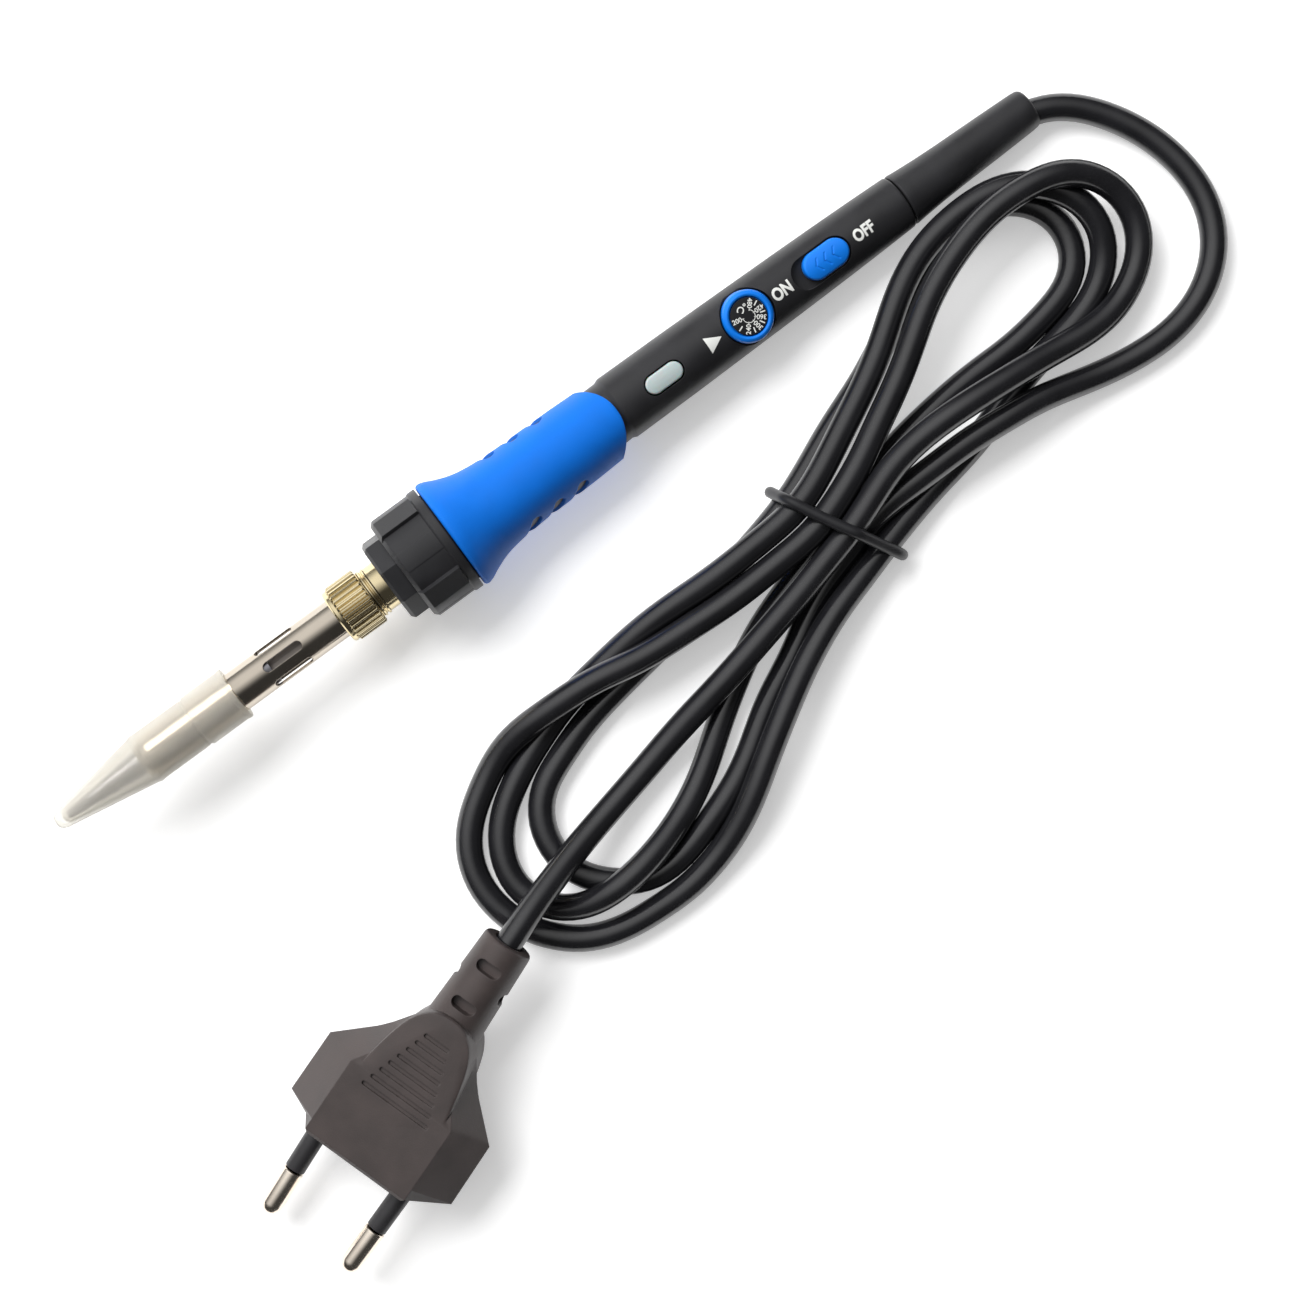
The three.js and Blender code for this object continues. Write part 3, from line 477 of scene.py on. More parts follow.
def lathe(profile, sides=96, radius=0.15, shape=None):
    """Turned piece about X from (station, radius) pairs; shape(s, r, turn) may vary its radius."""
    loop = profile[0][1] > 0
    rows = np.array(rounded(profile, radius, loop))
    turn = np.linspace(0, 2 * math.pi, sides, endpoint=False)[None, :]
    s = np.repeat(rows[:, :1], sides, 1)
    r = np.repeat(rows[:, 1:], sides, 1)
    if shape is not None:
        r = shape(s, r, turn)
    grid = np.stack([s, r * np.sin(turn), r * np.cos(turn)], -1)
    return rings(grid, loop)


def obround(length, width, arc=12):
    """Plan of a slot with round ends, long axis on X."""
    reach = (length - width) / 2
    bend = np.linspace(-math.pi / 2, math.pi / 2, arc)
    right = np.stack([reach + width / 2 * np.cos(bend), width / 2 * np.sin(bend)], -1)
    return np.vstack([right, -right])


def prism(outline, low, high):
    """Outline in X and Y, standing from low to high in Z."""
    outline = np.asarray(outline, float)
    ends = [np.column_stack([outline, np.full(len(outline), z)]) for z in (low, high)]
    return rings(ends, False)


def box(x0, x1, y0, y1, z0, z1):
    return prism([(x0, y0), (x1, y0), (x1, y1), (x0, y1)], z0, z1)


def moved(mesh, x=0.0, y=0.0, z=0.0, spin=None):
    """The mesh turned by (degrees, axis) and then moved."""
    turn = Matrix.Rotation(math.radians(spin[0]), 4, spin[1]) if spin else Matrix()
    mesh.transform(Matrix.Translation((x, y, z)) @ turn)
    return mesh


def evaluated(obj):
    """Mesh of the object with its modifiers or bevel applied; the object itself goes."""
    mesh = bpy.data.meshes.new_from_object(obj.evaluated_get(bpy.context.evaluated_depsgraph_get()))
    bpy.data.objects.remove(obj)
    return mesh


def combine(mesh, others, operation="DIFFERENCE"):
    """Cuts the others from the mesh, or joins or intersects them with it."""
    for other in others:
        target = bpy.data.objects.new("target", mesh)
        tool = bpy.data.objects.new("tool", other)
        scene.collection.objects.link(target)
        scene.collection.objects.link(tool)
        cut = target.modifiers.new("cut", "BOOLEAN")
        cut.operation = operation
        cut.solver = "MANIFOLD"
        cut.object = tool
        mesh = evaluated(target)
        bpy.data.objects.remove(tool)
    return mesh


def joined(meshes):
    """All the meshes in one."""
    made = bmesh.new()
    for mesh in meshes:
        made.from_mesh(mesh)
    mesh = bpy.data.meshes.new("joined")
    made.to_mesh(mesh)
    made.free()
    return mesh


def lean(mesh, distance):
    """Moves a piece sideways: not at all up to OFFSET_FROM, by the whole distance from OFFSET_TO on."""
    for vertex in mesh.vertices:
        part = (vertex.co.x - OFFSET_FROM) / (OFFSET_TO - OFFSET_FROM)
        vertex.co.y += distance * min(max(part, 0), 1)
    return mesh


def piece(name, mesh, place, sharp=34):
    """Puts a mesh in place of the CAD node of that name."""
    mesh.transform(place)
    mesh.shade_smooth()
    mesh.set_sharp_from_angle(angle=math.radians(sharp))
    mesh.materials.clear()
    mesh.materials.append(FINISHES[SLOT_OF[name]])
    made = bpy.data.objects.new(name + "_skin", mesh)
    scene.collection.objects.link(made)
    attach(made, BODY_OF[name])
    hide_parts(name)
    return made


# ------------------------------------------------------------------ cap, bit, barrel, nut


def tip_cap():
    """Hollow push-on cap: a cone, a tube and a wider mouth."""
    return lathe([
        (0, 0), (0.1, 0.9), (0.5, 1.4), (1.4, 1.75), (18.7, 4.7), (19.1, 4.88), (19.6, 4.88), (19.9, 4.8),
        (29.6, 4.8), (29.8, 4.66), (30.1, 4.66), (CAP_STEP + 0.2, 5.0), (37.8, 5.0), (38.0, 5.1),
        (CAP_MOUTH, 5.1), (CAP_MOUTH, 4.35), (30.4, 4.15), (19.6, 4.15), (2.2, 1.2), (1.7, 0.6), (1.6, 0),
    ], 96, 0.2)


def soldering_bit():
    """Cone with a flattened end and a hollow shank."""
    body = lathe([
        (2.5, 0), (2.5, 0.7), (7.9, 1.3), (17.8, 2.3), (22.2, 2.45), (22.2, 3.05), (46.5, 3.05),
        (46.5, 2.15), (24.2, 2.15), (23.4, 0),
    ], 64, 0.12)
    flats = []
    for side in (1, -1):
        flat = moved(box(-5, 5, -2, 2, -1, 1), z=side)
        flats.append(moved(flat, 2.5, 0, side * 0.25, (-8 * side, "Y")))
    return combine(body, flats)


def barrel_sleeve():
    """Tube with three pairs of slots and a flange inside the nut."""
    tube = lathe([
        (BARREL_FRONT, 2.8), (BARREL_FRONT + 0.3, 3.05), (19.6, 3.6), (20.6, BARREL_R), (62.2, BARREL_R),
        (62.2, 4.45), (63, 4.45), (63, 3.4), (21.4, 3.4), (20.4, 2.8),
    ], 180, 0.1)
    slots = [moved(moved(prism(obround(8, 1.8, 20), -5, 5), 49.3), spin=(60 * i, "X")) for i in range(3)]
    return combine(tube, slots)


def barrel_nut():
    """Nut with a plain front rim and a ridged band."""
    ridges = 30
    front = NUT_FRONT + 1.0

    def knurl(s, r, turn):
        wave = np.clip(0.5 + 0.95 * np.cos(ridges * turn), 0, 1)
        within = np.clip((s - front) / 0.25, 0, 1) * np.clip((NUT_REAR + 0.05 - s) / 0.2, 0, 1)
        return np.where(r > 5.1, r + (0.57 * wave - 0.17) * within, r)

    return lathe([
        (NUT_FRONT, 4.1), (NUT_FRONT, 4.9), (NUT_FRONT + 0.3, 5.2), (front - 0.1, 5.2), (front, 5.12),
        (front + 0.3, 5.12), (64, 5.12), (NUT_REAR - 0.35, 5.12), (NUT_REAR, 5.11), (NUT_REAR, 4.85),
        (61.9, 4.85), (61.9, 4.1),
    ], ridges * 16, 0.06, knurl)


def threaded_bush():
    """Bush with two thread ridges behind the nut and a flange inside the nose."""
    return lathe([
        (63.4, 4.2), (63.8, BUSH_R), (68.0, BUSH_R), (68.15, 4.75), (68.45, 4.75), (68.6, 4.4), (68.8, 4.4),
        (68.95, 4.75), (69.25, 4.75), (69.4, 4.5), (74, 4.5), (74, 6), (75.7, 6), (75.7, BUSH_R),
        (78.1, BUSH_R), (78.1, 3.4), (63.4, 3.4),
    ], 96, 0.07)


def nose_piece():
    """Eight-sided nose with a bevelled front and a round flange."""
    def eight_sided(s, r, turn):
        from_flat = (turn - math.radians(7)) % (math.pi / 4) - math.pi / 8
        across = math.cos(math.pi / 8) / np.cos(from_flat)
        return np.where((r > 6.5) & (s < 77.2), r * across, r)

    prism_part = [(NOSE_FRONT, 4.85), (NOSE_FRONT, NOSE_R - 0.7), (NOSE_FRONT + 0.6, NOSE_R),
                  (77.1, NOSE_R)]
    flange = [(77.4, SOCKET_R), (78.8, SOCKET_R), (78.8, 6.3), (73.7, 6.3), (73.7, 4.85)]
    return lathe(prism_part + flange, 256, 0.1, eight_sided)


def locking_collar():
    """Screw ring: four flat lugs with recessed panels between them and a plain rim behind."""
    rim = COLLAR_REAR - 1.7

    def lugs(s, r, turn):
        from_lug = turn % (math.pi / 2) - math.pi / 4
        flat = np.minimum(COLLAR_LUG / np.cos(from_lug), 10.95) - COLLAR_R
        on_lug = np.clip((math.radians(12) - np.abs(from_lug)) / math.radians(0.8), 0, 1)
        facet = 0.07 * np.clip((np.abs(from_lug) - math.radians(34)) / math.radians(1), 0, 1)
        within = np.clip((rim - s) / 0.12, 0, 1)
        rise = (on_lug * flat - 0.12 * (1 - on_lug) + facet) * within
        return np.where(r > 9.6, r + rise * np.clip((r - 9.6) / 0.5, 0, 1), r)

    return lathe([
        (COLLAR_FRONT, 8.55), (COLLAR_FRONT, 9.5), (COLLAR_FRONT + 0.75, COLLAR_R), (79, COLLAR_R),
        (rim - 0.2, COLLAR_R), (rim, COLLAR_R + 0.1), (rim + 0.3, COLLAR_R + 0.22),
        (COLLAR_REAR, COLLAR_R + 0.22), (COLLAR_REAR, 9.4), (76.8, 9.4), (76.8, 8.55),
    ], 720, 0.1, lugs)


# ------------------------------------------------------------------ grip, handle, rear cap


def grip_bars(length, width, low, high):
    """Three slanted bars through the sides of the grip, from low to high across it."""
    bars = []
    for i in range(3):
        slant = moved(prism(obround(length, width), low, high), spin=(GRIP_SLOT_SLANT, "Z"))
        bars.append(moved(slant, GRIP_SLOT_AT + GRIP_SLOT_STEP * i, spin=(90, "X")))
    return bars


def grip_sleeve():
    """Flared sleeve with an arched rear end, hollow, with the slots cut through its sides."""
    body = lean(lathe([
        (GRIP_FRONT, 0), (GRIP_FRONT, 10.3), (GRIP_FRONT + 0.25, 10.65), (GRIP_FRONT + 0.8, 10.8),
        (87.3, 10.5), (88.8, 9.75), (90.8, 8.95), (92.8, 8.4), (95.8, 7.97), (101, 7.68), (107, 7.62),
        (113, 7.52), (118, 7.32), (GRIP_REAR - 0.5, 7.15), (GRIP_REAR, 7.0), (GRIP_REAR, 0),
    ], 128, 0.8), GRIP_OFFSET)
    bore = lean(lathe([
        (GRIP_FRONT - 1, 0), (GRIP_FRONT - 1, 9.35), (GRIP_FRONT, 9.35), (88.3, 8.75), (91.8, 7.5),
        (OFFSET_FROM, 6.6), (GRIP_REAR, 6.2), (GRIP_REAR + 1, 6.2), (GRIP_REAR + 1, 0),
    ], 128, 0.05), HANDLE_OFFSET)
    arch_radius = 8.9
    bend = np.linspace(-1.055, 1.055, 48)
    arch = np.stack([GRIP_REAR - arch_radius + arch_radius * np.cos(bend), arch_radius * np.sin(bend)], -1)
    front = GRIP_FRONT - 1
    side = GRIP_REAR - 4.5
    plan = prism([(front, -12), (side, -12), *arch, (side, 12), (front, 12)], -12, 12)
    openings = grip_bars(GRIP_SLOT_LENGTH, GRIP_SLOT_WIDTH, -12, 12)
    return combine(combine(body, [plan], "INTERSECT"), [bore, *openings])


def handle_radius(s):
    """Radius of the handle behind the grip at station s."""
    stations, radii = zip(*HANDLE_OUTLINE, (SEAM_AT, 5.15))
    return np.interp(s, stations, radii)


def handle_tube():
    """Handle with its socket, the seats and openings of its controls, and the bars in the grip's slots."""
    mouth = 79.2
    outer = [
        (mouth, SOCKET_R), (COLLAR_REAR, SOCKET_R), (87.6, 8.4), (91.3, 7.1), (OFFSET_FROM, 6.25),
        (OFFSET_TO + 0.1, 5.9), *HANDLE_OUTLINE, (SEAM_AT - 0.3, 5.17), (SEAM_AT, 5.0),
    ]
    inner = [(SEAM_AT, 4.2), (177, 4.4), (149, 4.7), (OFFSET_TO, 5.0), (OFFSET_FROM, 5.0), (88.8, 6.2),
             (mouth, 7.4)]
    tube = lathe(outer + inner, 160, 0.12)
    outside = lathe([(mouth, 0), *outer, (SEAM_AT, 0)], 160, 0.12)
    seats = [box(DIAL_AT - 6.2, DIAL_AT + 6.2, -5, 5, DIAL_FLOOR - 1, 5.5),
             box(SWITCH_AT - 8.5, SWITCH_AT + 6.5, -4.6, 4.6, SWITCH_FLOOR - 1, 5.2)]
    seats = [combine(seat, [outside], "INTERSECT") for seat in seats]
    tube = combine(tube, seats, "UNION")
    middle = SWITCH_AT - SLIDER_TRAVEL / 2
    around = np.linspace(0, 2 * math.pi, 96, endpoint=False)
    circle = np.stack([np.cos(around), np.sin(around)], -1)
    recess = obround(SLIDER_LENGTH + SLIDER_TRAVEL + 0.8, SLIDER_WIDTH + 0.7, 24)
    cutters = [
        moved(prism(circle * (DIAL_R + 0.35), DIAL_FLOOR, 8), DIAL_AT),
        moved(prism(circle * 1.9, 0, 8), DIAL_AT),
        moved(prism(recess, SWITCH_FLOOR, 8), middle),
        moved(prism(obround(SLIDER_TRAVEL + 3.2, 2), 0, 8), middle),
        moved(prism(obround(8.1, 4.0, 20), 2, 8), WINDOW_AT),
    ]
    tube = combine(tube, cutters)
    tube = lean(moved(tube, spin=(HANDLE_ROLL, "X")), HANDLE_OFFSET)
    below_grip = lean(lathe([
        (90, 0), (90, 8.4), (92.8, 7.9), (95.8, 7.4), (101, 7.1), (107, 7.05), (113, 6.95), (118, 6.8),
        (118, 0),
    ], 128, 0.8), GRIP_OFFSET)
    for low, high in ((-12, -5.3), (5.3, 12)):
        bars = grip_bars(GRIP_SLOT_LENGTH - 0.3, GRIP_SLOT_WIDTH - 0.3, low, high)
        bars = [combine(slant, [below_grip.copy()], "INTERSECT") for slant in bars]
        tube = combine(tube, bars, "UNION")
    return tube


def rear_cap():
    """Tapered cap with a spigot that goes into the handle and a mouth for the cord."""
    return lathe([
        (182.2, 3.9), (SEAM_AT + 0.3, 3.9), (SEAM_AT + 0.3, 4.95), (SEAM_AT + 0.6, 5.1), (188.6, 4.9),
        (192.6, 4.62), (197, 4.42), (205, 4.2), (211, 4.0), (213.5, 3.9), (214.6, 3.78), (LENGTH, 3.5),
        (LENGTH, 3.35), (210, 2.9), (205, 2.9), (204, 3.7), (188.6, 3.7), (186.6, 3.3), (182.2, 3.3),
    ], 96, 0.25)


# ------------------------------------------------------------------ dial, switch, lens, print


def upright(profile, sides=96, radius=0.1):
    """Turned piece about Z from (height, radius) pairs."""
    return moved(lathe(profile, sides, radius), spin=(-90, "Y"))


def temperature_dial():
    sink = DIAL_TOP - 0.75
    return moved(upright([
        (2.5, 0), (2.5, 1.5), (DIAL_FLOOR + 0.35, 1.5), (DIAL_FLOOR + 0.35, DIAL_R), (sink, DIAL_R),
        (DIAL_TOP - 0.25, DIAL_R - 0.25), (DIAL_TOP, DIAL_R - 0.75), (DIAL_TOP - 0.02, DIAL_FACE_R + 0.5),
        (DIAL_TOP - 0.15, DIAL_FACE_R + 0.2), (sink, DIAL_FACE_R + 0.2), (sink, 0),
    ], 128, 0.3), DIAL_AT)


def dial_face():
    return moved(upright([
        (DIAL_TOP - 0.45, 0), (DIAL_TOP - 0.45, DIAL_FACE_R), (DIAL_TOP - 0.15, DIAL_FACE_R),
        (DIAL_TOP - 0.15, 0),
    ], 96, 0.05), DIAL_AT)


def crowned(length, width, bottom, height):
    """Obround button; height(x, y, inset) is its top, inset measured in from its edge."""
    def plan(inset):
        curved = obround(length - 2 * inset, width - 2 * inset, 60)
        straight = np.linspace(-1, 1, 60) * (length - width) / 2
        side = width / 2 - inset
        return np.vstack([curved[:60], np.column_stack([straight[::-1], np.full(60, side)]),
                          curved[60:], np.column_stack([straight, np.full(60, -side)])])

    rows = [np.column_stack([plan(0), np.full(240, bottom)])]
    for inset in [0, 0.06, 0.14, 0.24, *np.linspace(0.36, width / 2 - 0.02, 26)]:
        outline = plan(inset)
        rows.append(np.column_stack([outline, height(outline[:, 0], outline[:, 1], inset)]))
    return rings(rows, False)


def rolled_edge(inset, radius):
    """How far a rolled edge lies below the top, inset from its outline."""
    return radius - math.sqrt(max(radius ** 2 - max(radius - inset, 0) ** 2, 0))


def switch_slider():
    """Slider with shallow arrowhead grooves across its crowned top."""
    def height(x, y, inset):
        top = np.sqrt(SLIDER_TOP ** 2 - y ** 2) - rolled_edge(inset, 0.45)
        line = np.abs((x + 0.9) % 1.8 - 0.9 - 0.62 * np.abs(y) + 0.45)
        chevron = np.clip(1 - line / 0.22, 0, 1) * np.clip((1.35 - np.abs(y)) / 0.2, 0, 1)
        chevron *= np.clip((2.9 - np.abs(x)) / 0.3, 0, 1)
        return top - 0.16 * chevron

    button = crowned(SLIDER_LENGTH, SLIDER_WIDTH, SWITCH_FLOOR + 0.3, height)
    stem = box(-1, 1, -0.65, 0.65, 2.2, SWITCH_FLOOR + 0.6)
    return moved(combine(button, [stem], "UNION"), SWITCH_AT)


def indicator_lens():
    def height(x, y, inset):
        return np.sqrt(6.3 ** 2 - y ** 2) - rolled_edge(inset, 0.3)

    return moved(crowned(7.5, 3.4, 4.2, height), WINDOW_AT)


def lettering(text, height, x, y, turn, bold=0.02, narrow=1):
    """Upright flat letters, centred on x, y and reading in the direction turn, in degrees."""
    curve = bpy.data.curves.new("lettering", "FONT")
    curve.body = text
    curve.size = height / 0.7
    curve.align_x = "CENTER"
    curve.align_y = "CENTER"
    curve.extrude = 0.02
    curve.offset = bold
    curve.resolution_u = 4
    made = bpy.data.objects.new("lettering", curve)
    scene.collection.objects.link(made)
    mesh = evaluated(made)
    mesh.transform(Matrix.Diagonal((narrow, 1, 1, 1)))
    return moved(mesh, x, y, spin=(turn, "Z"))


def on_handle(mesh):
    """Lays a flat mark on the round of the handle."""
    made = bmesh.new()
    made.from_mesh(mesh)
    for y in np.arange(-1.6, 1.7, 0.2):
        parts = made.verts[:] + made.edges[:] + made.faces[:]
        bmesh.ops.bisect_plane(made, geom=parts, plane_co=(0, y, 0), plane_no=(0, 1, 0))
    for vertex in made.verts:
        round_of = handle_radius(vertex.co.x)
        vertex.co.z += math.sqrt(round_of ** 2 - vertex.co.y ** 2) + 0.01
    made.to_mesh(mesh)
    made.free()
    return mesh


def printed(name, meshes, body):
    """White print in the handle's frame that rides on a body."""
    mesh = joined(meshes)
    mesh.transform(HANDLE)
    mesh.materials.clear()
    mesh.materials.append(PRINT)
    made = bpy.data.objects.new(name, mesh)
    scene.collection.objects.link(made)
    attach(made, body)


def handle_print():
    base = TRIANGLE_AT - 1.5
    triangle = prism([(base, -1.6), (TRIANGLE_AT + 1.5, 0), (base, 1.6)], -0.02, 0.02)
    return [on_handle(triangle), on_handle(lettering("ON", 2.2, ON_AT, 0, 0, 0.12, 0.8)),
            on_handle(lettering("OFF", 2.1, OFF_AT, 0, 0, 0.12, 0.8))]


def dial_print():
    """Scale in degrees round the dial, read towards its middle, with a tick between its numbers."""
    numbers = {200: 168.6, 240: 234.5, 300: 282.6, 360: 323.6, 420: 363.6, 480: 412.6}
    marks = []
    for number, angle in numbers.items():
        spot = math.radians(angle)
        marks.append(lettering(str(number), 0.85, 2.3 * math.cos(spot), 2.3 * math.sin(spot), angle + 180))
        marks.append(moved(box(0.95, 1.4, -0.06, 0.06, -0.02, 0.02), spin=(angle, "Z")))
    angles = list(numbers.values())
    for first, second in zip(angles, angles[1:]):
        marks.append(moved(box(2.1, 3.1, -0.11, 0.11, -0.02, 0.02), spin=((first + second) / 2, "Z")))
    sweep = np.radians(np.linspace(angles[0], angles[-1], 40))
    outer = np.stack([1.2 * np.cos(sweep), 1.2 * np.sin(sweep)], -1)
    marks.append(prism(np.vstack([outer, 0.9 * outer[::-1]]), -0.02, 0.02))
    unit = math.radians(100.5)
    marks.append(lettering("°C", 1.25, 2.1 * math.cos(unit), 2.1 * math.sin(unit), -136, 0.03))
    return [moved(mark, DIAL_AT, 0, DIAL_TOP - 0.12) for mark in marks]


# ------------------------------------------------------------------ plug


def plug_body():
    """Six-sided body with a raised tongue, finger grooves, a slotted strain relief and the pins' holes."""
    flat_half = 10.8
    half_thick = 6.85
    shoulder = 15.3
    grooves = 8
    sections = [(0, 11.8, 10.2, 6.3), (0.7, 13, flat_half, half_thick), (2.8, 17.65, flat_half, half_thick),
                (shoulder, 17.5, flat_half, half_thick)]
    for x in np.arange(16, 29.5, 0.75):
        ridge = np.interp(x, [shoulder, 21.5, 23.5, 28.3, 30], [17.5, 10.9, 9.2, 5.8, 5.3])
        thick = 4.7 + 2.15 * math.exp(-((x - shoulder) / 5) ** 1.5)
        sections.append((x, ridge, min(flat_half, 0.62 * ridge), thick))
    rows = [[(x, ridge, 0), (x, flat, thick), (x, -flat, thick),
             (x, -ridge, 0), (x, -flat, -thick), (x, flat, -thick)]
            for x, ridge, flat, thick in sections]
    body = rings(rows, False)
    edge = smooth_curve([
        (4, 9.9, 0), (12, 9.7, 0), (18, 8.9, 0), (22.6, 8, 0), (25.6, 7.2, 0), (27.4, 6.5, 0),
        (29.2, 5.4, 0), (30.6, 4, 0), (31.5, 2.3, 0), (31.8, 0, 0),
    ], 0.5)[:, :2]
    tongue_plan = np.vstack([edge, (edge[:-1] * (1, -1))[::-1]])
    tongue_rows = []
    for scale, z in [(0.95, -6.8), (0.985, -6.65), (1, -6.3), (1, 6.3), (0.985, 6.65), (0.95, 6.8)]:
        plan = (tongue_plan - (14, 0)) * scale + (14, 0)
        tongue_rows.append(np.column_stack([plan, np.full(len(plan), z)]))
    tongue = rings(tongue_rows, False)
    relief = lathe([
        (26.5, 0), (26.5, 5.2), (28.3, 5.5), (30, 5.38), (40, 4.98), (46.7, 4.74), (47.3, 4.45), (47.3, 0),
    ], 96, 0.3)
    body = combine(body, [tongue, relief], "UNION")
    cutters = [lathe([(44, 0), (44, CORD_D / 2 + 0.3), (50, CORD_D / 2 + 0.3), (50, 0)], 48, 0.05)]
    for side in (-1, 1):
        hole = lathe([(-1, 0), (-1, 2.45), (0.6, 2.45), (0.6, 1.5), (6, 1.5), (6, 0)], 48, 0.02)
        cutters.append(moved(hole, y=side * PIN_PITCH / 2))
    for side in (1, -1):
        for x, turn in ((34.5, 90 - 90 * side), (42.3, 90 - 90 * side), (38.4, 90 * side)):
            slot = moved(prism(obround(4.8, 2.2), 2.9, 8), spin=(90, "Z"))
            cutters.append(moved(moved(slot, x), spin=(turn, "X")))
        for k in range(grooves):
            groove = moved(prism(obround(14.2 - 1.27 * k, 0.75), 6.42, 8), spin=(90, "Z"))
            cutters.append(moved(moved(groove, 13.5 + 1.9 * k), spin=(90 - 90 * side, "X")))
    return combine(body, cutters)


def plug_pin(side):
    pin = lathe([(-PIN_LENGTH, 0), (-PIN_LENGTH, 0.9), (-PIN_LENGTH + 0.7, 1.65), (-PIN_LENGTH + 1.7, 2),
                 (-SLEEVE_LENGTH - 0.3, 2), (-SLEEVE_LENGTH - 0.3, 1.2), (5, 1.2), (5, 0)], 64, 0.4)
    return moved(pin, y=side * PIN_PITCH / 2, spin=(side * PIN_TOE_IN, "Z"))


def pin_sleeve(side):
    sleeve = lathe([(-SLEEVE_LENGTH, 1.9), (0.3, 1.9), (0.3, 1.5), (-SLEEVE_LENGTH, 1.5)], 64, 0.12)
    return moved(sleeve, y=side * PIN_PITCH / 2, spin=(side * PIN_TOE_IN, "Z"))


# ------------------------------------------------------------------ build the pieces

for build, place in [
    (tip_cap, IRON), (soldering_bit, IRON), (barrel_sleeve, IRON), (barrel_nut, IRON),
    (threaded_bush, IRON), (nose_piece, IRON), (locking_collar, IRON), (grip_sleeve, IRON),
    (handle_tube, IRON), (rear_cap, HANDLE),
    (temperature_dial, HANDLE), (dial_face, HANDLE), (switch_slider, HANDLE), (indicator_lens, HANDLE),
    (plug_body, PLUG),
]:
    piece(build.__name__, build(), place)
for label, side in (("left", 1), ("right", -1)):
    piece(f"plug_pin_{label}", plug_pin(side), PLUG)
    piece(f"pin_sleeve_{label}", pin_sleeve(side), PLUG)
printed("handle_print", handle_print(), "handle")
printed("dial_print", dial_print(), "dial")

for name in (
    "heater_core", "heater_base", "heater_lead_left", "heater_lead_right", "circuit_board", "potentiometer",
    "switch_body", "indicator_led", "triac", "timing_capacitor", "drop_resistor", "mains_lead_left",
    "mains_lead_right", "cord_clamp",
):
    frame["nodes"][name].material_slots[0].material = FINISHES[SLOT_OF[name]]

# ------------------------------------------------------------------ cord and tie


def bar(name, points, radius, loop=False):
    """Round bar along points in row millimetres."""
    curve = bpy.data.curves.new(name, "CURVE")
    curve.dimensions = "3D"
    curve.bevel_depth = radius
    curve.bevel_resolution = 6
    curve.use_fill_caps = not loop
    spline = curve.splines.new("POLY")
    spline.points.add(len(points) - 1)
    places = np.hstack([np.asarray(points) * MM, np.ones((len(points), 1))])
    spline.points.foreach_set("co", places.ravel())
    spline.points.foreach_set("radius", np.full(len(points), MM))
    spline.use_smooth = True
    spline.use_cyclic_u = loop
    made = bpy.data.objects.new(name, curve)
    scene.collection.objects.link(made)
    return made


def tie_line(points):
    """Band drawn tight round the strands that cross the tie's plane."""
    across = Vector((math.cos(math.radians(-TIE_ANGLE)), math.sin(math.radians(-TIE_ANGLE)), 0))
    along = Vector((-across.y, across.x, 0))
    centre = Vector((*TIE_CENTRE, 0))
    depth = np.array([(Vector(point) - centre).dot(along) for point in points])
    reach = CORD_D / 2 + TIE_WIRE_R + CLEARANCE
    outline = []
    for k in np.flatnonzero(depth[:-1] * depth[1:] < 0):
        part = depth[k] / (depth[k] - depth[k + 1])
        spot = Vector(points[k] + part * (points[k + 1] - points[k])) - centre
        beside = spot.dot(across)
        if abs(beside) < TIE_REACH:
            for angle in np.linspace(0, 2 * math.pi, 48, endpoint=False):
                outline.append((beside + reach * math.cos(angle), spot.z + reach * math.sin(angle)))
    hull = [outline[k] for k in geometry.convex_hull_2d(outline)]
    band = [(u, 0, max(z, TIE_WIRE_R + CLEARANCE)) for u, z in [*hull, hull[0]]]
    ring = evenly(np.array(band), TIE_STEP)[:-1]
    made = []
    for k, (u, _, z) in enumerate(ring):
        skew = 0.9 * math.sin(2 * math.pi * k / len(ring))
        made.append(centre + float(u) * across + skew * along + Vector((0, 0, float(z))))
    return made


cord_points = cord_line()
cord = bar("cord", cord_points, CORD_D / 2)
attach(cord, "handle")
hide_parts("cord_lead", "cord_hank", "cord_tail")
cord.data.materials.append(FINISHES["cord_black"])
tie = bar("cord_tie_skin", tie_line(cord_points), TIE_WIRE_R, True)
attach(tie, "handle")
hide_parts("cord_tie")
tie.data.materials.append(FINISHES["tie_black"])

# ------------------------------------------------------------------ table and light

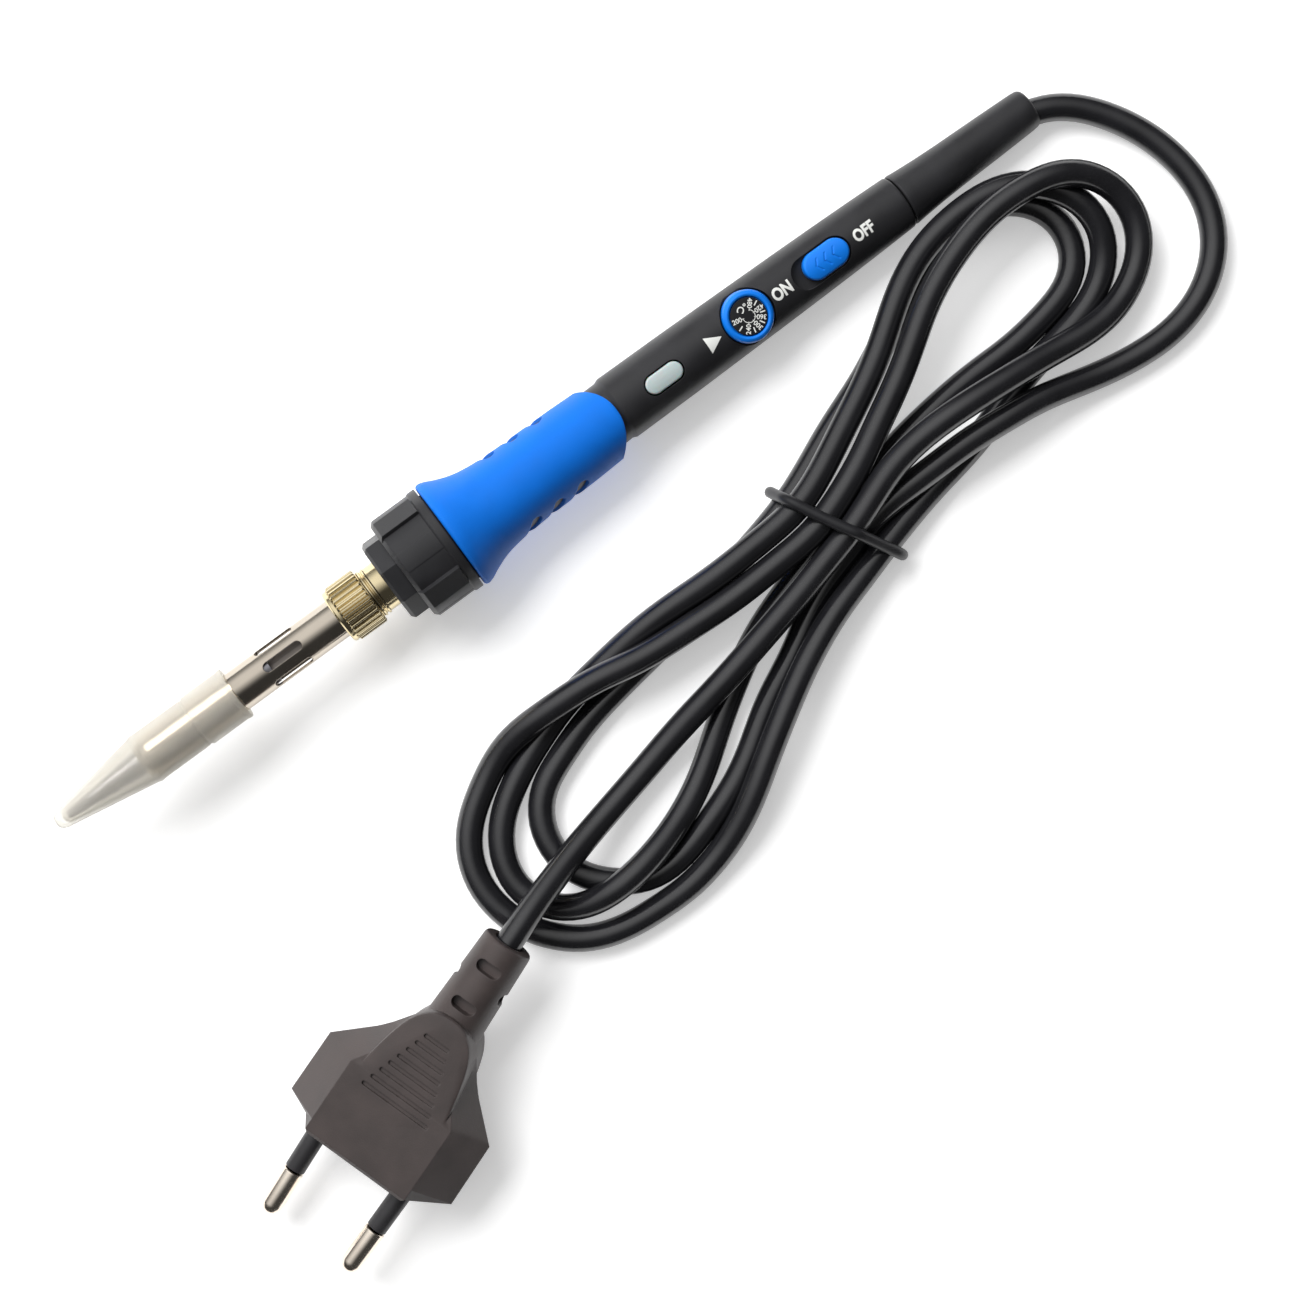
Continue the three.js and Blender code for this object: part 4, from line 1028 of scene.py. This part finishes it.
TABLE_SIZE = 6                      # metres
TABLE_GLOW = 0.42                   # lifts the table to the photo's near white
floor_mesh = bpy.data.meshes.new("table")
half = TABLE_SIZE / 2
corners = [(-half, -half, 0), (half, -half, 0), (half, half, 0), (-half, half, 0)]
floor_mesh.from_pydata(corners, [], [(0, 1, 2, 3)])
floor_material = bpy.data.materials.new("table")
floor_material.use_nodes = True
surface = floor_material.node_tree.nodes["Principled BSDF"]
surface.inputs["Base Color"].default_value = (0.86, 0.86, 0.86, 1)
surface.inputs["Roughness"].default_value = 1
surface.inputs["Specular IOR Level"].default_value = 0
surface.inputs["Emission Color"].default_value = (1, 1, 1, 1)
surface.inputs["Emission Strength"].default_value = TABLE_GLOW
floor_mesh.materials.append(floor_material)
floor = bpy.data.objects.new("table", floor_mesh)
scene.collection.objects.link(floor)

SKY_DIM = 0.05
SKY_BRIGHT = 1.05
SKY_FALL = 2.2
SKY_TOWARDS = (-0.1, 0.55, 0.83)    # its bright side
world = scene.world or bpy.data.worlds.new("sky")
scene.world = world
world.use_nodes = True
sky = world.node_tree
sky.nodes.clear()
direction = node(sky, "TexCoord").outputs["Generated"]
towards = node(sky, "VectorMath", {0: direction, 1: SKY_TOWARDS}, operation="DOT_PRODUCT").outputs["Value"]
near = ranged(sky, towards, 0, 1, 0.4, 0.96)
glow = node(sky, "Math", {0: near, 1: SKY_FALL}, operation="POWER").outputs[0]
glow = ranged(sky, glow, SKY_DIM, SKY_BRIGHT, 0, 1)
background = node(sky, "Background", {"Color": (1, 1, 1, 1), "Strength": glow})
node(sky, "OutputWorld", {"Surface": background.outputs[0]})

KEY_LEAN = math.radians(40)
KEY_SIDE = (-0.149, 0.989)
KEY_DISTANCE = 0.8
KEY_SIZE = 0.5
KEY_WATTS = 8
key_from = Vector((KEY_SIDE[0] * math.sin(KEY_LEAN), KEY_SIDE[1] * math.sin(KEY_LEAN), math.cos(KEY_LEAN)))
key_data = bpy.data.lights.new("key", "AREA")
key_data.size = KEY_SIZE
key_data.energy = KEY_WATTS
key = bpy.data.objects.new("key", key_data)
key.location = key_from.normalized() * KEY_DISTANCE
key.rotation_euler = key_from.to_track_quat("Z", "Y").to_euler()
key.visible_glossy = False          # glossy pieces mirror the sky only
scene.collection.objects.link(key)

scene.view_settings.view_transform = "Standard"

bpy.context.view_layer.update()
